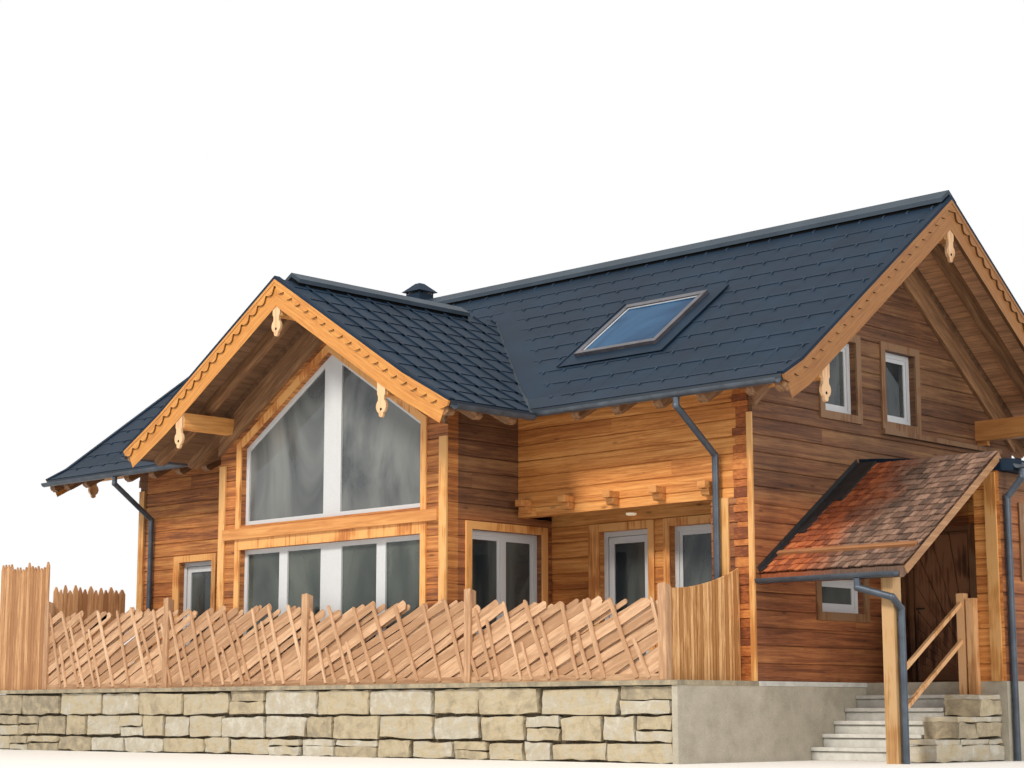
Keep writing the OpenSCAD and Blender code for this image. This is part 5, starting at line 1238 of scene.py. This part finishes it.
mesh_piece("leaning_boards", boards, larch_board, slot="fence_wood", replaces=("fence_lattice",))
mesh_piece("crossing_sticks", sticks, larch_stick, slot="fence_wood")
mesh_piece("foot_planks", planks, larch_plank, slot="fence_wood")

# Posts with a top sawn on the slant
BACK_DROP, WEST_DROP = 0.035, 0.01
bm = bmesh.new()
for x, h in zip(POSTS, TOPS):
    start = len(bm.faces)
    lo, hi = ((x + s * POST_HALF, FENCE_Y + s * POST_HALF) for s in (-1, 1))
    for v in box(bm, (*lo, FLOOR_Z), (*hi, FLOOR_Z + h)):
        if v.co.z > FLOOR_Z:
            v.co.z -= (BACK_DROP if v.co.y > FENCE_Y else 0) + (WEST_DROP if v.co.x < x else 0)
    shade(bm, start, rnd.uniform(0.0, 0.12), "stick_shade")
mesh_piece("slanted_posts", bm, larch_up, slot="fence_wood", replaces=("fence_posts",), bevel=(0.006, 2))

# Close-boarded panels: upright boards side by side, each a shade of its own; those at the
# west end have broken points
PANEL_FOOT, PANEL_T, BOARD_GAP = 1.003, 0.025, 0.007
SWEEP_REACH, SWEEP_CLIMB, SWEEP_Z = 1.52, 0.33, 2.12


def upright_boards(bm, a0, a1, place, top, w0, w1, pointed=0.0):
    for a, w in pieces(a0, a1, w0, w1, w0 * 0.6, rnd):
        start = len(bm.faces)
        b = a + w
        a += BOARD_GAP
        outline = [(a, PANEL_FOOT), (b, PANEL_FOOT), (b, top(b)), (a, top(a))]
        if pointed:
            mid = top(b) - rnd.uniform(0.0, pointed)
            z0, z1 = (mid - rnd.uniform(0.03, 0.07) - 0.04 for _ in range(2))
            west = a - BOARD_GAP
            outline[2:] = [(b, z1), (west + w * 0.62, mid), (west + w * 0.4, mid), (a, z0)]
        thick = PANEL_T - rnd.uniform(0, 0.005)
        prism(bm, [[place(u, d, z) for u, z in outline] for d in (0.0, thick)])
        shade(bm, start, rnd.uniform(-0.16, 0.24), "stick_shade")


def swept_top(y):
    """The east panel's top: an arc that climbs 330 mm to the house."""
    r = (SWEEP_REACH ** 2 + SWEEP_CLIMB ** 2) / (2 * SWEEP_CLIMB)
    return SWEEP_Z + r - math.sqrt(r * r - max(0.0, y - FENCE_Y) ** 2)


BEHIND_POST, EAST_PANEL_X, EAST_PANEL_END, WEST_PANEL_X, WEST_END, WEST_POST = (
    -4.709, 6.4125, -3.281, -7.0675, -8.625, -7.115)
FRONT_TOP, RETURN_TOP, BOARD_W, PICKET_W = 3.18, 2.78, (0.052, 0.074), (0.085, 0.115)
east, west = bmesh.new(), bmesh.new()
upright_boards(east, BEHIND_POST, EAST_PANEL_END, lambda u, d, z: (EAST_PANEL_X + d, u, z), swept_top,
               *BOARD_W)
upright_boards(west, WEST_END, WEST_POST, lambda u, d, z: (u, FENCE_Y + d, z), lambda x: FRONT_TOP, *PICKET_W,
               0.12)
upright_boards(west, BEHIND_POST, FRONT_Y, lambda u, d, z: (WEST_PANEL_X + d, u, z), lambda y: RETURN_TOP,
               *PICKET_W, 0.1)
face_out(east, west)
mesh_piece("east_panel", east, larch_sunlit_east, slot="fence_wood", replaces=("fence_boards",))
mesh_piece("west_pickets", west, larch_sunlit_west, slot="fence_wood")

## Roof window
# A centre-pivot roof window: grey-brown sheet covers round an insulating pane, set in a
# flat flashing tray that the plates run up to.
SKY_X0, SKY_X1, SKY_L, SKY_PITCH, SKY_FOOT = 3.135, 4.655, 1.5026, math.radians(37), (-2.71, 5.6378)
COVER_W, HEAD_W, SKY_SASH = 0.085, 0.11, 0.025


def slope_box(bm, a0, a1, s0, s1, h0, h1):
    """A box on the front slope: s up the rafters from the window's foot, h above the deck."""
    up, out = math.cos(SKY_PITCH), math.sin(SKY_PITCH)
    bend_to(box(bm, (a0, s0, h0), (a1, s1, h1)),
            lambda v: (v.x, SKY_FOOT[0] + v.y * up - v.z * out, SKY_FOOT[1] + v.y * out + v.z * up))


window_cover = sheet("umber_sheet_cover", "#4c4a4c", "#66636a", 0.42, 0.5, 0.4, 7)
bm = bmesh.new()
for strip in rim(SKY_X0, SKY_X1, 0, SKY_L, COVER_W, high=HEAD_W):
    slope_box(bm, *strip, -0.2, 0.085)
slope_box(bm, SKY_X0 + 0.02, SKY_X1 - 0.02, SKY_L - 0.12, SKY_L - 0.02, 0.085, 0.0895)
mesh_piece("roof_window_covers", bm, window_cover, slot="gutter_metal", replaces=("skylight",),
           bevel=(0.006, 2))
bm = bmesh.new()
for strip in rim(SKY_X0 + COVER_W, SKY_X1 - COVER_W, COVER_W, SKY_L - HEAD_W, SKY_SASH):
    slope_box(bm, *strip, 0.04, 0.066)
mesh_piece("roof_window_sash", bm, white_lacquer, slot="white_frame")
bm = bmesh.new()
slope_box(bm, SKY_X0 + 0.1, SKY_X1 - 0.1, 0.1, SKY_L - 0.125, 0.035, 0.059)
mesh_piece("roof_window_glass", bm, sky_glass, slot="window_glass")

# The flashing tray: flat sheet 150 to 270 mm wide with an upstand beside the plates
TRAY_LEFT, TRAY_RIGHT, TRAY_LOW, TRAY_HIGH, TRAY_GAP, UPSTAND = 0.18, 0.27, 0.25, 0.15, 0.002, 0.02
tray = (SKY_X0 - TRAY_LEFT, SKY_X1 + TRAY_RIGHT, -TRAY_LOW, SKY_L + TRAY_HIGH)
bm = bmesh.new()
for strip in rim(*tray, *(width - TRAY_GAP for width in (TRAY_LEFT, TRAY_RIGHT, TRAY_LOW, TRAY_HIGH))):
    slope_box(bm, *strip, 0.028, 0.032)
for a in (tray[0], tray[1] - UPSTAND):
    slope_box(bm, a, a + UPSTAND, tray[2], tray[3], 0.02, 0.045)
mesh_piece("roof_window_flashing", bm, slate_metal, slot="roof_shingles")
